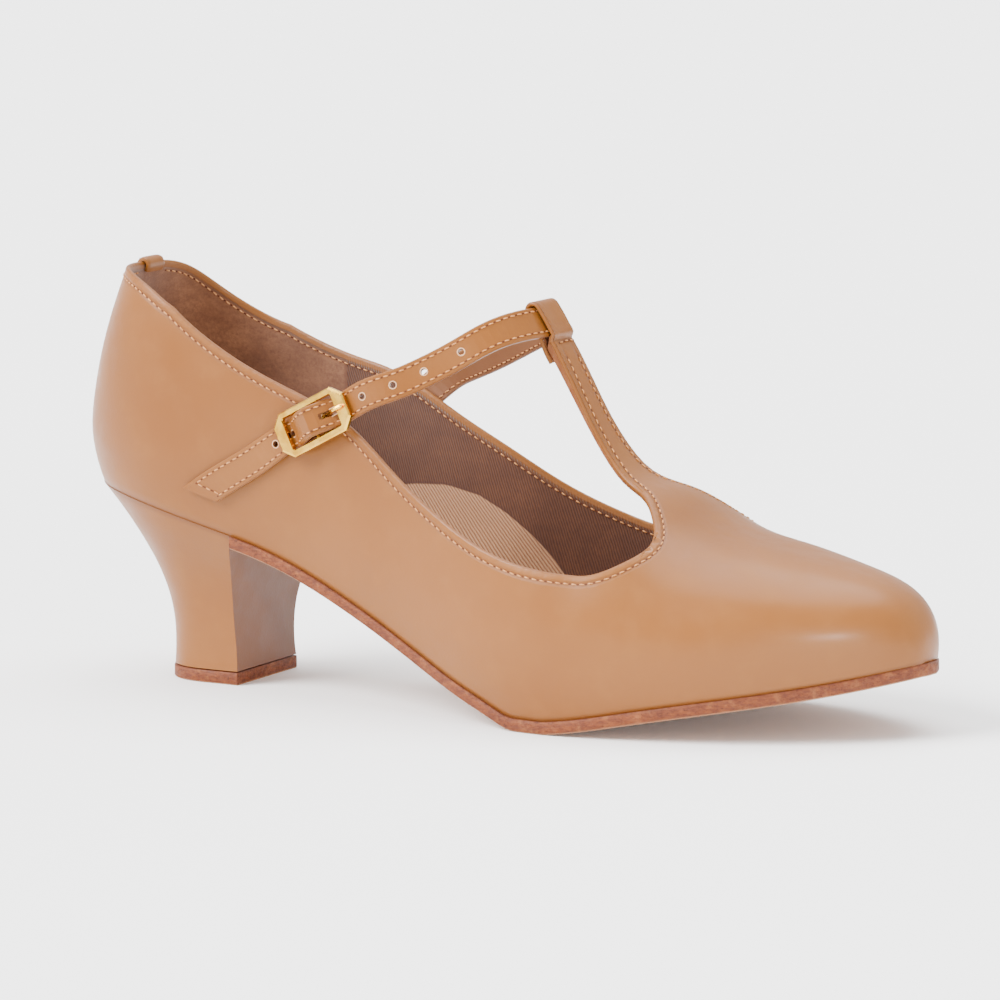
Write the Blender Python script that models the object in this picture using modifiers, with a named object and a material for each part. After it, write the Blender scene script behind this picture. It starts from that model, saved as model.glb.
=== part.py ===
"""Character shoe, right foot: T-strap, leather-covered heel, leather sole.

Metres, +Z up, +X to the toe, -Y is the outer (little toe) side.
Lengths below are millimetres until SCALE turns them into metres.
Along the last, x runs from 0 behind the heel to LENGTH at the tip of the toe.
"""
import bpy
import bmesh
import numpy as np
from math import pi, sin, cos, radians

# Driving dimensions
LENGTH = 234.0          # back of the last to the tip of the toe
BALL_WIDTH = 79.0       # widest part of the last
INSTEP = 100.0          # height from which the ridge and the collar are shared out
HEEL_HEIGHT = 50.0      # height from which the sole's underside is shared out
SOLE = 3.2              # outsole thickness
SOLE_EDGE = 0.6         # how far the sole stands out past the upper
SOLE_BEVEL = 0.35       # bevel of the sole's lower edge
WALL = 1.8              # leather and lining of the upper
LIFT = 3.2              # top lift thickness
INSOLE = 2.0            # sock and board together
STRAP = 1.5             # strap thickness
STRAP_EDGE = 0.35       # bevel of the strap's edges
GAP = 0.3               # clearance between separate pieces
TREAD_X = 38.9          # centre of the heel tread, becomes x = 0
SCALE = 0.001           # millimetres to metres
WIDEST_MOST = 20.0      # the widest line is at most this far above the seat

# Form of the last
HEEL_SPAN = 0.173       # share of LENGTH closed by the heel round
TOE_START = 0.80        # share of LENGTH where the toe round starts
TOE_ROUND = 2.15        # exponent of the toe's outline
TOE_HEIGHT_ROUND = 2.22  # exponent of the toe's height as it closes
HEEL_ROUND = 2.25       # exponent of the heel's outline
WIDEST = 0.34           # height of the widest line, share of the ridge's
CREST = 2.25            # exponent of the section above the widest line

# Sections: station as a share of LENGTH, then shares of BALL_WIDTH: half width
# at the feather line outer and inner, extra at the widest line outer and
# inner, sideways shift of the middle
SECTIONS = (
    (0.000, 0.345, 0.320, 0.045, 0.045, 0.000),
    (0.153, 0.350, 0.325, 0.045, 0.045, 0.000),
    (0.285, 0.342, 0.290, 0.045, 0.055, 0.000),
    (0.407, 0.348, 0.250, 0.050, 0.075, -0.005),
    (0.509, 0.400, 0.310, 0.052, 0.070, -0.010),
    (0.620, 0.470, 0.420, 0.048, 0.050, -0.005),
    (0.712, 0.478, 0.450, 0.040, 0.038, 0.010),
    (0.814, 0.430, 0.420, 0.028, 0.028, 0.035),
    (0.915, 0.352, 0.352, 0.022, 0.022, 0.065),
    (1.000, 0.290, 0.290, 0.018, 0.018, 0.090),
)

# Ridge of the last: share of LENGTH, height as a share of INSTEP
RIDGE = (
    (0.000, 1.340), (0.203, 1.320), (0.386, 1.240), (0.488, 1.130),
    (0.575, 0.925), (0.635, 0.700), (0.671, 0.600), (0.712, 0.560),
    (0.753, 0.502), (0.834, 0.445), (0.915, 0.438), (1.000, 0.491),
)

# Underside of the sole: share of LENGTH, height as a share of HEEL_HEIGHT.
# It rests flat on the floor between the two shares of BALL_FLAT.
BALL_FLAT = (0.612, 0.646)
UNDER = (
    (0.000, 0.930), (0.102, 0.885), (0.203, 0.775), (0.285, 0.672),
    (0.383, 0.475), (0.479, 0.255), (0.534, 0.135), (0.585, 0.040),
    (0.600, 0.012), (BALL_FLAT[0], 0.0), (BALL_FLAT[1], 0.0), (0.732, 0.068),
    (0.834, 0.155), (0.926, 0.230), (1.000, 0.305),
)

# Back line of the upper: height above the seat as a share of INSTEP, x as a
# share of LENGTH
BACK = (
    (-0.060, 0.0406), (0.000, 0.0299), (0.040, 0.0244), (0.130, 0.0184),
    (0.200, 0.0214), (0.360, 0.0368), (0.550, 0.0650),
)

# Collar: run as a share of LENGTH (0 at the back seam, HEEL_SPAN where the
# heel round ends), height of the outer and the inner collar as shares of INSTEP
COLLAR = (
    (0.000, 1.045, 1.045), (0.061, 1.050, 1.020), (0.112, 1.038, 0.945),
    (0.154, 0.998, 0.882), (0.181, 0.950, 0.852), (0.214, 0.898, 0.823),
    (0.262, 0.838, 0.792), (0.305, 0.796, 0.770), (0.351, 0.756, 0.726),
    (0.401, 0.698, 0.662), (0.455, 0.603, 0.592), (0.515, 0.513, 0.508),
    (0.573, 0.448, 0.444), (0.627, 0.412, 0.405), (0.674, 0.399, 0.395),
    (0.753, 0.399, 0.395),
)

# Stem of the T: share of LENGTH, half width as a share of BALL_WIDTH
STEM = (
    (0.5804, 0.0630), (0.635, 0.0700), (0.671, 0.0911), (0.712, 0.1456), (0.748, 0.1900),
)
APEX = 0.742            # share of LENGTH where the opening ends
APEX_Z = 0.466          # its height, share of INSTEP
APEX_RUN = 0.055        # length of the opening's round end, share of LENGTH

# Loop at the top of the stem, seen along the stem's slope
SLOPE = radians(58.0)   # rise of the stem where the strap crosses
LOOP_WALL = 1.1         # thickness of the loop's leather
LOOP_ROUND = 2.25       # outer radius of the fold
LOOP_MIDDLE = -0.5      # middle of the fold, forward of the stem's face
LOOP_RISE = 9.5         # stitched line to the middle of the fold
STRAP_RISE = 6.2        # stitched line to the middle of the strap
# Front of the loop: share of LOOP_RISE up the slope, share of LOOP_ROUND
# forward of the stem, share of the wall kept between WALL and LOOP_WALL,
# share kept of the stem's crown
LOOP_FRONT = (
    (0.050, 0.28, 0.50, 0.40), (0.110, 0.64, 0.10, 0.10), (0.170, 0.83, 0.0, 0.0),
    (0.35, 0.86, 0.0, 0.0), (0.60, 0.86, 0.0, 0.0), (0.82, 0.82, 0.0, 0.0),
)
# Back of the loop: share of LOOP_RISE, share of the way from the fold's back to
# its place behind the stem, share kept of the stem's crown
LOOP_BACK = (
    (0.80, 0.0, 0.0), (0.50, 0.0, 0.0), (0.26, 0.1, 0.1), (0.06, 0.65, 0.5),
    (-0.14, 1.0, 1.0), (-0.40, 1.0, 1.0),
)

# Heel: share of its height, then shares of LENGTH: back line and breast line,
# and half width as a share of BALL_WIDTH
HEEL = (
    (0.000, 0.1154, 0.2188, 0.2051), (0.070, 0.1154, 0.2179, 0.2013),
    (0.146, 0.1154, 0.2171, 0.2000), (0.275, 0.1141, 0.2162, 0.2051),
    (0.426, 0.1077, 0.2171, 0.2190), (0.576, 0.0953, 0.2205, 0.2430),
    (0.735, 0.0761, 0.2265, 0.2810), (0.895, 0.0513, 0.2342, 0.3266),
    (1.000, 0.0299, 0.2393, 0.3519),
)
HEEL_IN = 0.87          # inner half width of the tread, share of the outer
HEEL_SKEW = 1.2         # the breast's inner edge stands back by this at the tread
HEEL_FULL = 2.5         # exponent of the heel's outline at the tread
HEEL_BLEND = 1.5        # the sides start this much further forward at the tread
LIFT_EDGE = 0.25        # how far the top lift stands out past the heel

# Back tab
TAB = 1.0               # thickness
TAB_HALF = 3.8          # half width
TAB_OUTER = (-4.6, -2.9, -1.2)          # heights of its outer arm from the collar
TAB_INNER = (-1.2, -3.4, -5.6, -7.8)    # heights of its inner arm
TAB_LIFT = 0.5          # middle of its fold above the collar

# Buckle on the outer quarter
BUCKLE_X = 0.3594       # share of LENGTH
BUCKLE_Z = 0.708        # share of INSTEP
BUCKLE_SLOPE = radians(28.2)
FRAME_LONG, FRAME_WIDE = 21.6, 11.6     # outer size of the frame
FRAME_IN_LONG, FRAME_IN_WIDE = 15.2, 8.3    # its window
FRAME_THICK = 1.4
FRAME_CORNER = 2.7      # chamfer of the outer corners
FRAME_IN_CORNER = 0.35  # chamfer of the window's corners
FRAME_BEVEL = 0.35      # bevel round the face
FRAME_LEVEL = 3.05      # middle of the frame above the quarter
BAR = 0.6               # radius of the centre bar
BAR_IN = 0.8            # how far the bar runs into the frame
BAR_GAP = 0.2           # clearance round the bar
FOLD = 0.8              # thickness of the buckle's tab
TAB_WIDE = 6.8          # its width
SLOT = 1.9              # its slot for the prong
PRONG = 0.5             # radius of the prong
PRONG_GAP = 0.15        # clearance between prong and bar
# Prong beyond its ring: along the strap, level above the quarter
PRONG_LINE = (
    (1.5, 3.35), (3.0, 2.25), (4.0, 2.30), (5.0, 2.80), (6.2, 3.70), (7.3, 4.40),
    (8.6, 4.50), (10.2, 4.35),
)

# Strap. Tail on the outer quarter: share of LENGTH, share of INSTEP, width
TAIL = (
    (0.2145, 0.506, 8.0), (0.2350, 0.536, 8.0), (0.2650, 0.576, 7.9), (0.2949, 0.620, 7.8),
)
TAIL_SLANT = 3.4        # the tail's end is cut at a slant
# Through the buckle: distances from its middle, share of the window's half length
THROUGH = (-1.25, -1.0, -0.75, -0.5, -0.25, 0.0, 0.25, 0.5, 0.75, 1.0, 1.42)
THROUGH_WIDE = 7.5
# Free part, measured from where it crosses the stem: shares of LENGTH,
# BALL_WIDTH and INSTEP, then the way it faces, and its width
FREE = (
    (-0.1500, -0.3930, -0.1770, 0.05, -1.00, 0.10, 7.6),
    (-0.1132, -0.3696, -0.1420, 0.28, -0.93, 0.20, 7.5),
    (-0.0880, -0.3316, -0.1130, 0.38, -0.86, 0.30, 7.5),
    (-0.0560, -0.2810, -0.0680, 0.44, -0.80, 0.38, 7.5),
    (-0.0291, -0.2278, -0.0260, 0.55, -0.70, 0.42, 7.6),
    (-0.0085, -0.1380, -0.0040, 0.78, -0.30, 0.52, 7.9),
    (0.0, -0.0660, 0.0, 0.848, 0.0, 0.53, 8.0),
    (0.0, 0.0, 0.0, 0.848, 0.0, 0.53, 8.0),
    (0.0, 0.0660, 0.0, 0.848, 0.0, 0.53, 8.0),
    (-0.0100, 0.1100, -0.0110, 0.75, 0.45, 0.48, 8.0),
    (-0.0440, 0.1640, -0.0460, 0.45, 0.80, 0.38, 8.1),
    (-0.1100, 0.2480, -0.1160, 0.36, 0.87, 0.34, 8.2),
    (-0.1560, 0.3060, -0.1590, 0.30, 0.92, 0.28, 8.3),
    (-0.1930, 0.3480, -0.1990, 0.10, 0.98, 0.18, 8.4),
)
# End on the inner quarter: share of LENGTH, share of INSTEP
ANCHOR = ((0.3440, 0.702), (0.3210, 0.655))
ANCHOR_LIFT = 0.3       # extra clearance over the inner quarter
ANCHOR_WIDE = 8.6
HOLE = 0.8              # radius of the strap's holes
# Holes along the strap from the middle of the buckle
HOLES_AT = (-13.9, -7.4, 16.6, 24.6, 32.7, 43.3)
PRONG_HOLE = 5.3        # middle of the prong's hole
PRONG_SLOT = 1.7        # half length added to it

# How finely each form is divided
SECTION_POINTS = 90     # points up half a section of the last
ROWS = 10               # rows from the feather line to the collar
TOP_ROWS = 8            # rows from the opening to the ridge
HEEL_COLS = 10          # columns round each side of the heel
SIDE_COLS = 16          # columns along each quarter
STEM_COLS = 12          # columns beside the stem, close at the round end
TOE_COLS = 16           # columns from the opening to the tip
SOLE_COLS = 30
HEEL_STEPS = 12
INSOLE_COLS = 30
INSOLE_BACK = 9
STRAP_ROWS = 92
PRONG_ROWS = 28
ROUND_SIDES = 16        # sides of the bar and of the holes' cutters


def spline(xs, ys):
    """Natural cubic through the points, straight beyond both ends."""
    xs, ys = np.array(xs, float), np.array(ys, float)
    n = len(xs)
    h = np.diff(xs)
    a = np.eye(n)
    r = np.zeros(n)
    for i in range(1, n - 1):
        a[i, i - 1], a[i, i], a[i, i + 1] = h[i - 1], 2 * (h[i - 1] + h[i]), h[i]
        r[i] = 6 * ((ys[i + 1] - ys[i]) / h[i] - (ys[i] - ys[i - 1]) / h[i - 1])
    m = np.linalg.solve(a, r)

    def at(x):
        x = np.clip(np.asarray(x, float), xs[0], xs[-1])
        i = np.clip(np.searchsorted(xs, x) - 1, 0, n - 2)
        p, q = x - xs[i], xs[i + 1] - x
        return (m[i] * q ** 3 + m[i + 1] * p ** 3) / (6 * h[i]) \
            + (ys[i] / h[i] - m[i] * h[i] / 6) * q + (ys[i + 1] / h[i] - m[i + 1] * h[i] / 6) * p
    return at


def columns(table):
    return list(zip(*table))


def scaled(shares, size):
    """Spline of a section column, as a length at a place along the last."""
    f = spline(columns(SECTIONS)[0], shares)
    return lambda x: size * f(np.asarray(x) / LENGTH)


_, feather_out, feather_in, bulge_out, bulge_in, middle = columns(SECTIONS)
feather = {-1: scaled(feather_out, BALL_WIDTH), 1: scaled(feather_in, BALL_WIDTH)}
bulge = {-1: scaled(bulge_out, BALL_WIDTH), 1: scaled(bulge_in, BALL_WIDTH)}
centre = scaled(middle, BALL_WIDTH)
under_f = spline(*columns(UNDER))
ridge_f = spline(*columns(RIDGE))
back_f = spline(*columns(BACK))
collar_x, collar_out, collar_in = columns(COLLAR)
collar_f = {-1: spline(collar_x, collar_out), 1: spline(collar_x, collar_in)}
stem_f = spline(*columns(STEM))
heel_rise, heel_back, heel_breast, heel_wide = columns(HEEL)
heel_back, heel_breast, heel_wide = [spline(heel_rise, v) for v in (heel_back, heel_breast, heel_wide)]
STEM_TOP = STEM[0][0] * LENGTH
APEX_X = APEX * LENGTH
HEEL_END = HEEL_SPAN * LENGTH
BREAST_TOP = HEEL[-1][2] * LENGTH


def unit(v):
    v = np.array(v, float)
    return v / np.linalg.norm(v)


# The last

def under(x):
    """Height of the sole's underside, flat on the floor under the ball."""
    return np.maximum(HEEL_HEIGHT * under_f(np.asarray(x) / LENGTH), 0.0)


def seat(x):
    """Height of the feather line, just above the sole."""
    return under(x) + SOLE + GAP


def toe_round(x, power):
    t = np.clip((np.asarray(x) / LENGTH - TOE_START) / (1 - TOE_START), 0.0, 1.0)
    return (1 - t ** power) ** (1 / power)


def ridge(x):
    """Height of the last's ridge, closing on the sole at the toe."""
    s = seat(x)
    return s + (INSTEP * ridge_f(np.asarray(x) / LENGTH) - s) * toe_round(x, TOE_HEIGHT_ROUND)


def widest(x):
    s = seat(x)
    return s + np.minimum(WIDEST * (ridge(x) - s), WIDEST_MOST)


def half(x, z, side):
    """Half width of the last at a station and height, before the heel round."""
    s, w, r = seat(x), widest(x), ridge(x)
    low = np.clip((w - z) / np.maximum(w - s, 1e-6), 0, 1)
    full = feather[side](x) + bulge[side](x) * (1 - low ** 2)
    up = np.clip((z - w) / np.maximum(r - w, 1e-6), 0, 1)
    return full * (1 - up ** CREST) ** (1 / CREST) * toe_round(x, TOE_ROUND)


def heel_point(angle, height, side, inset=0.0):
    """Point of the heel round. Angle 0 is the start of the round, 90 the back."""
    s, c = sin(angle) ** (2 / HEEL_ROUND), cos(angle) ** (2 / HEEL_ROUND)
    x = HEEL_END
    for _ in range(3):
        z = seat(x) + height
        x = HEEL_END - (HEEL_END - inset - LENGTH * float(back_f(height / INSTEP))) * s
    y = (float(half(x, z, side)) - inset) * c * side
    return x, y, z


def section(x, side):
    """The last's section on one side, feather line to ridge, as points."""
    s, w, r = float(seat(x)), float(widest(x)), float(ridge(x))
    full = float(feather[side](x) + bulge[side](x)) * float(toe_round(x, TOE_ROUND))
    low = np.linspace(s, w, SECTION_POINTS // 3, endpoint=False)
    y_low = half(x, low, side)
    a = np.linspace(0, pi / 2, SECTION_POINTS)
    y_up = full * np.cos(a) ** (2 / CREST)
    z_up = w + (r - w) * np.sin(a) ** (2 / CREST)
    y, z = np.r_[y_low, y_up], np.r_[low, z_up]
    run = np.r_[0, np.cumsum(np.hypot(np.diff(y), np.diff(z)))]
    return y, z, run / max(run[-1], 1e-9)


def on_section(x, side, share):
    y, z, run = section(x, side)
    return x, float(centre(x)) + side * float(np.interp(share, run, y)), float(np.interp(share, run, z))


def share_at_height(x, side, height):
    y, z, run = section(x, side)
    return float(np.interp(height, z, run))


def share_at_width(x, side, width):
    """Share of the section, above its widest line, at this half width."""
    y, z, run = section(x, side)
    above = SECTION_POINTS // 3
    return float(np.interp(-width, -y[above:], run[above:]))


def opening(x, side):
    """Shares of the section where the opening starts and ends at a station."""
    apex = share_at_height(APEX_X, side, APEX_Z * INSTEP)
    t = min(1.0, (APEX_X - x) / (APEX_RUN * LENGTH))
    k = (1 - (1 - max(t, 0.0)) ** 2) ** 0.5
    low = share_at_height(x, side, INSTEP * float(collar_f[side](x / LENGTH)))
    high = share_at_width(x, side, BALL_WIDTH * float(stem_f(x / LENGTH)))
    return apex + (low - apex) * k, apex + (high - apex) * k


def quarter_normal(x, z, side):
    step = 0.5
    hx = (float(half(x + step, z, side)) - float(half(x - step, z, side))) / (2 * step)
    hz = (float(half(x, z + step, side)) - float(half(x, z - step, side))) / (2 * step)
    return unit((-hx, side, -hz))


def on_quarter(x, z, side, level):
    p = np.array((x, float(centre(x)) + side * float(half(x, z, side)), z))
    return p + quarter_normal(x, z, side) * level


# Objects

def object_of(name, verts, faces):
    me = bpy.data.meshes.new(name)
    me.from_pydata([((x - TREAD_X) * SCALE, y * SCALE, z * SCALE) for x, y, z in verts], [], faces)
    me.update()
    ob = bpy.data.objects.new(name, me)
    PARTS.objects.link(ob)
    return ob


def tidy(ob, smooth=True):
    """Join close points and turn the faces outward."""
    bm = bmesh.new()
    bm.from_mesh(ob.data)
    bmesh.ops.remove_doubles(bm, verts=bm.verts, dist=0.00002)
    bmesh.ops.dissolve_degenerate(bm, edges=bm.edges, dist=0.000005)
    bmesh.ops.recalc_face_normals(bm, faces=bm.faces)
    bm.to_mesh(ob.data)
    bm.free()
    for p in ob.data.polygons:
        p.use_smooth = smooth


def loft(name, rings, caps=(True, True), smooth=True):
    """Closed solid through rings of equal count."""
    n = len(rings[0])
    verts = [p for r in rings for p in r]
    faces = [(i * n + k, i * n + (k + 1) % n, (i + 1) * n + (k + 1) % n, (i + 1) * n + k)
             for i in range(len(rings) - 1) for k in range(n)]
    if caps[0]:
        faces.append(tuple(range(n))[::-1])
    if caps[1]:
        faces.append(tuple((len(rings) - 1) * n + k for k in range(n)))
    ob = object_of(name, verts, faces)
    tidy(ob, smooth)
    return ob


def joined(name, solids):
    """One cutter made of several short lofts."""
    verts, faces = [], []
    for rings in solids:
        n, o = len(rings[0]), len(verts)
        verts += [tuple(p) for r in rings for p in r]
        faces += [(o + k, o + (k + 1) % n, o + n + (k + 1) % n, o + n + k) for k in range(n)]
        faces += [tuple(o + k for k in range(n))[::-1], tuple(o + n + k for k in range(n))]
    ob = object_of(name, verts, faces)
    tidy(ob, False)
    PARTS.objects.unlink(ob)
    CUTTERS.objects.link(ob)
    ob.hide_render = True
    ob.display_type = "WIRE"
    return ob


def boolean(ob, other, operation):
    m = ob.modifiers.new("with " + other.name, "BOOLEAN")
    m.operation = operation
    m.solver = "EXACT"
    m.object = other


def paint(ob, colour, roughness, metallic=0.0):
    m = bpy.data.materials.new(ob.name)
    m.use_nodes = True
    b = m.node_tree.nodes["Principled BSDF"]
    b.inputs["Base Color"].default_value = (*colour, 1.0)
    b.inputs["Roughness"].default_value = roughness
    b.inputs["Metallic"].default_value = metallic
    ob.data.materials.append(m)


# Upper

def stations():
    """Places of the columns: along the quarters, beside the stem, over the toe."""
    side = list(np.linspace(HEEL_END, STEM_TOP, SIDE_COLS + 1))
    stem = [STEM_TOP + (APEX_X - STEM_TOP) * sin(pi / 2 * k / STEM_COLS) for k in range(1, STEM_COLS + 1)]
    toe = [APEX_X + (LENGTH - APEX_X) * (0.35 * k / TOE_COLS + 0.65 * sin(pi / 2 * k / TOE_COLS))
           for k in range(1, TOE_COLS + 1)]
    toe[-1] = LENGTH
    return side, stem, toe


def heel_column(angle, side, inset=0.0, rows=ROWS):
    """Points up the heel round, from the feather line to the collar."""
    run = HEEL_SPAN * (1 - angle / (pi / 2))
    x0, _, _ = heel_point(angle, 0.3 * INSTEP, side)
    top = INSTEP * float(collar_f[side](run)) - float(seat(x0))
    return [heel_point(angle, top * k / rows, side, inset) for k in range(rows + 1)]


def loop_path():
    """Loop's outer face: x, z, share of the stem's crown, share of the full wall."""
    ux, uz = -cos(SLOPE), sin(SLOPE)
    nx, nz = sin(SLOPE), cos(SLOPE)
    x0, z0 = STEM_TOP, float(ridge(STEM_TOP))
    line = [(up * LOOP_RISE, forward * LOOP_ROUND, crown, wall)
            for up, forward, wall, crown in LOOP_FRONT]
    for a in range(0, 181, 30):
        line.append((LOOP_RISE + LOOP_ROUND * sin(radians(a)),
                     LOOP_MIDDLE + LOOP_ROUND * cos(radians(a)), 0.0, 0.0))
    back, behind = LOOP_MIDDLE - LOOP_ROUND, -(WALL + GAP + LOOP_WALL)
    for up, way, crown in LOOP_BACK:
        line.append((up * LOOP_RISE, back + (behind - back) * way, crown, 0.0))
    return [(x0 + ux * s + nx * n, z0 + uz * s + nz * n, crown, wall) for s, n, crown, wall in line]


def build_upper():
    verts, faces, index = [], [], {}

    def vert(key, p):
        if key not in index:
            index[key] = len(verts)
            verts.append(p)
        return index[key]

    def quad(a, b, c, d, side):
        ids = []
        for i in (a, b, c, d):
            if i not in ids:
                ids.append(i)
        if len(ids) > 2:
            faces.append(tuple(ids) if side > 0 else tuple(ids[::-1]))

    side_x, stem_x, toe_x = stations()
    xs = side_x + stem_x + toe_x
    first_top = len(side_x) - 1
    crown = {}
    for side in (-1, 1):
        cols = []
        for k in range(HEEL_COLS):
            pts = heel_column(pi / 2 * (1 - k / HEEL_COLS), side)
            cols.append([vert(("back", j) if k == 0 else (side, k, j), p) for j, p in enumerate(pts)])
        for i, x in enumerate(xs):
            k = HEEL_COLS + i
            if i == len(xs) - 1:
                tip = vert("tip", (LENGTH, float(centre(LENGTH)), float(seat(LENGTH))))
                cols.append([tip] * (ROWS + 1))
                crown[(side, i)] = [tip] * (TOP_ROWS + 1)
                continue
            if i == 0:
                pts = heel_column(0.0, side)
                cols.append([vert((side, k, j), p) for j, p in enumerate(pts)])
                continue
            if x <= APEX_X:
                low, high = opening(x, side)
            else:
                base = share_at_height(APEX_X, side, APEX_Z * INSTEP)
                t = (x - APEX_X) / (LENGTH - APEX_X)
                low = high = base + (0.45 - base) * min(1.0, 1.4 * t)
            cols.append([vert((side, k, j), on_section(x, side, low * j / ROWS)) for j in range(ROWS + 1)])
            if i < first_top:
                continue
            row = []
            for j in range(TOP_ROWS + 1):
                if j == 0 and x >= APEX_X - 1e-6:
                    row.append(cols[-1][-1])
                elif j == TOP_ROWS:
                    row.append(vert(("ridge", i), (x, float(centre(x)), float(ridge(x)))))
                else:
                    share = high + (1 - high) * j / TOP_ROWS
                    row.append(vert((side, "top", i, j), on_section(x, side, share)))
            crown[(side, i)] = row
        for a, b in zip(cols, cols[1:]):
            for j in range(ROWS):
                quad(a[j], a[j + 1], b[j + 1], b[j], side)
        for i in range(first_top, len(xs) - 1):
            a, b = crown[(side, i)], crown[(side, i + 1)]
            for j in range(TOP_ROWS):
                quad(a[j], a[j + 1], b[j + 1], b[j], side)

    # The stem runs on over the strap, folds and comes down behind it
    across = crown[(-1, first_top)][:-1] + crown[(1, first_top)][::-1]
    width = [verts[i][1] for i in across]
    base_z = float(ridge(STEM_TOP))
    drop = [verts[i][2] - base_z for i in across]
    thick = [1.0] * len(verts)
    prev = across
    for px, pz, keep, wall in loop_path():
        row = []
        for y, dz in zip(width, drop):
            row.append(len(verts))
            verts.append((px, y, pz + dz * keep))
            thick.append((LOOP_WALL + (WALL - LOOP_WALL) * wall) / WALL)
        for j in range(len(row) - 1):
            faces.append((prev[j], row[j], row[j + 1], prev[j + 1])[::-1])
        prev = row
    ob = object_of("upper", verts, faces)
    bm = bmesh.new()
    bm.from_mesh(ob.data)
    bmesh.ops.recalc_face_normals(bm, faces=bm.faces)
    toe = max(bm.verts, key=lambda v: v.co.x)
    if sum(f.normal.x for f in toe.link_faces) < 0:
        bmesh.ops.reverse_faces(bm, faces=bm.faces)
    bm.to_mesh(ob.data)
    bm.free()
    for p in ob.data.polygons:
        p.use_smooth = True
    group = ob.vertex_groups.new(name="wall")
    for i, t in enumerate(thick):
        group.add([i], t, "REPLACE")
    m = ob.modifiers.new("wall", "SOLIDIFY")
    m.thickness = WALL * SCALE
    m.offset = -1.0
    m.use_even_offset = False
    m.vertex_group = group.name
    return ob


# Sole, heel and insole

def sole_ring(x, shift=0.0):
    w = {s: float(feather[s](x)) * float(toe_round(x, TOE_ROUND)) + SOLE_EDGE for s in (-1, 1)}
    c, z = float(centre(x)), float(under(x))
    shares = (1.0, 0.8, 0.5, 0.2, -0.2, -0.5, -0.8, -1.0)
    ring = []
    for t in shares:
        ring.append((x + shift, c + (w[1] if t > 0 else w[-1]) * t, z + SOLE))
    for t in shares[::-1]:
        side = 1 if t > 0 else -1
        rim = SOLE_BEVEL if abs(t) == 1.0 else 0.0
        ring.append((x + shift, c + w[side] * t - side * rim, z + rim))
    return ring


def build_outsole():
    """Leather sole from the heel breast to the toe, with one flat tread face."""
    start = BREAST_TOP + GAP
    xs = [start + (LENGTH - start) * (0.4 * k / SOLE_COLS + 0.6 * sin(pi / 2 * k / SOLE_COLS))
          for k in range(SOLE_COLS + 1)]
    xs = sorted(xs[:-1] + [flat * LENGTH for flat in BALL_FLAT])
    rings = [sole_ring(x) for x in xs]
    rings.append(sole_ring(LENGTH * 0.9995, shift=SOLE_EDGE * 0.75))
    ob = loft("outsole", rings)
    bm = bmesh.new()
    bm.from_mesh(ob.data)
    tread = [f for f in bm.faces if all(abs(v.co.z) < 1e-7 for v in f.verts)]
    bmesh.ops.dissolve_faces(bm, faces=tread)
    bm.to_mesh(ob.data)
    bm.free()
    return ob


def heel_ring(rise, level=None, grow=0.0):
    """D-shaped ring of the heel at a share of its height."""
    back = LENGTH * float(heel_back(rise)) - grow
    breast = LENGTH * float(heel_breast(rise))
    w = BALL_WIDTH * float(heel_wide(rise)) + grow
    power = HEEL_FULL + (HEEL_ROUND - HEEL_FULL) * rise
    start = HEEL_END + HEEL_BLEND * (1 - rise)
    lean = float(feather[-1](HEEL_END)) / (BALL_WIDTH * HEEL[-1][3])
    plan = []
    for side in (-1, 1):
        arc = []
        for k in range(HEEL_STEPS + 1):
            a = pi / 2 * (1 - k / HEEL_STEPS)
            arc.append((start - (start - back) * sin(a) ** (2 / power), w * cos(a) ** (2 / power)))
        for t in (0.35, 0.7, 1.0):
            arc.append((start + (breast - start) * t, w))
        half_ring = []
        inner = (side + 1) / 2
        for x, y in arc:
            x -= inner * HEEL_SKEW * (1 - rise ** 2) * y / w
            y *= 1 - inner * (1 - HEEL_IN) * (1 - rise ** 2)
            fit = lean * float(feather[side](x)) / float(feather[-1](HEEL_END))
            if side > 0:
                fit = lean * float(feather[1](x)) / float(feather[1](HEEL_END))
            half_ring.append((x, side * y * (1 + (fit - 1) * rise ** 2)))
        plan.append(half_ring)
    ring = []
    for x, y in plan[0][::-1] + plan[1][1:]:
        top = float(under(x)) + SOLE
        ring.append((x, y, LIFT + (top - LIFT) * rise if level is None else level))
    return ring


def build_heel():
    rises = (0.004, 0.07, 0.146, 0.21, 0.275, 0.35, 0.426, 0.50, 0.576, 0.655, 0.735, 0.815, 0.895, 1.0)
    rings = [heel_ring(r) for r in rises]
    rings[0] = heel_ring(0.0, LIFT + GAP)
    return loft("heel", rings)


def build_lift():
    return loft("top_lift", [heel_ring(0.0, 0.0, LIFT_EDGE * 0.4), heel_ring(0.0, LIFT * 0.5, LIFT_EDGE),
                             heel_ring(0.0, LIFT, LIFT_EDGE * 0.4)])


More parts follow.
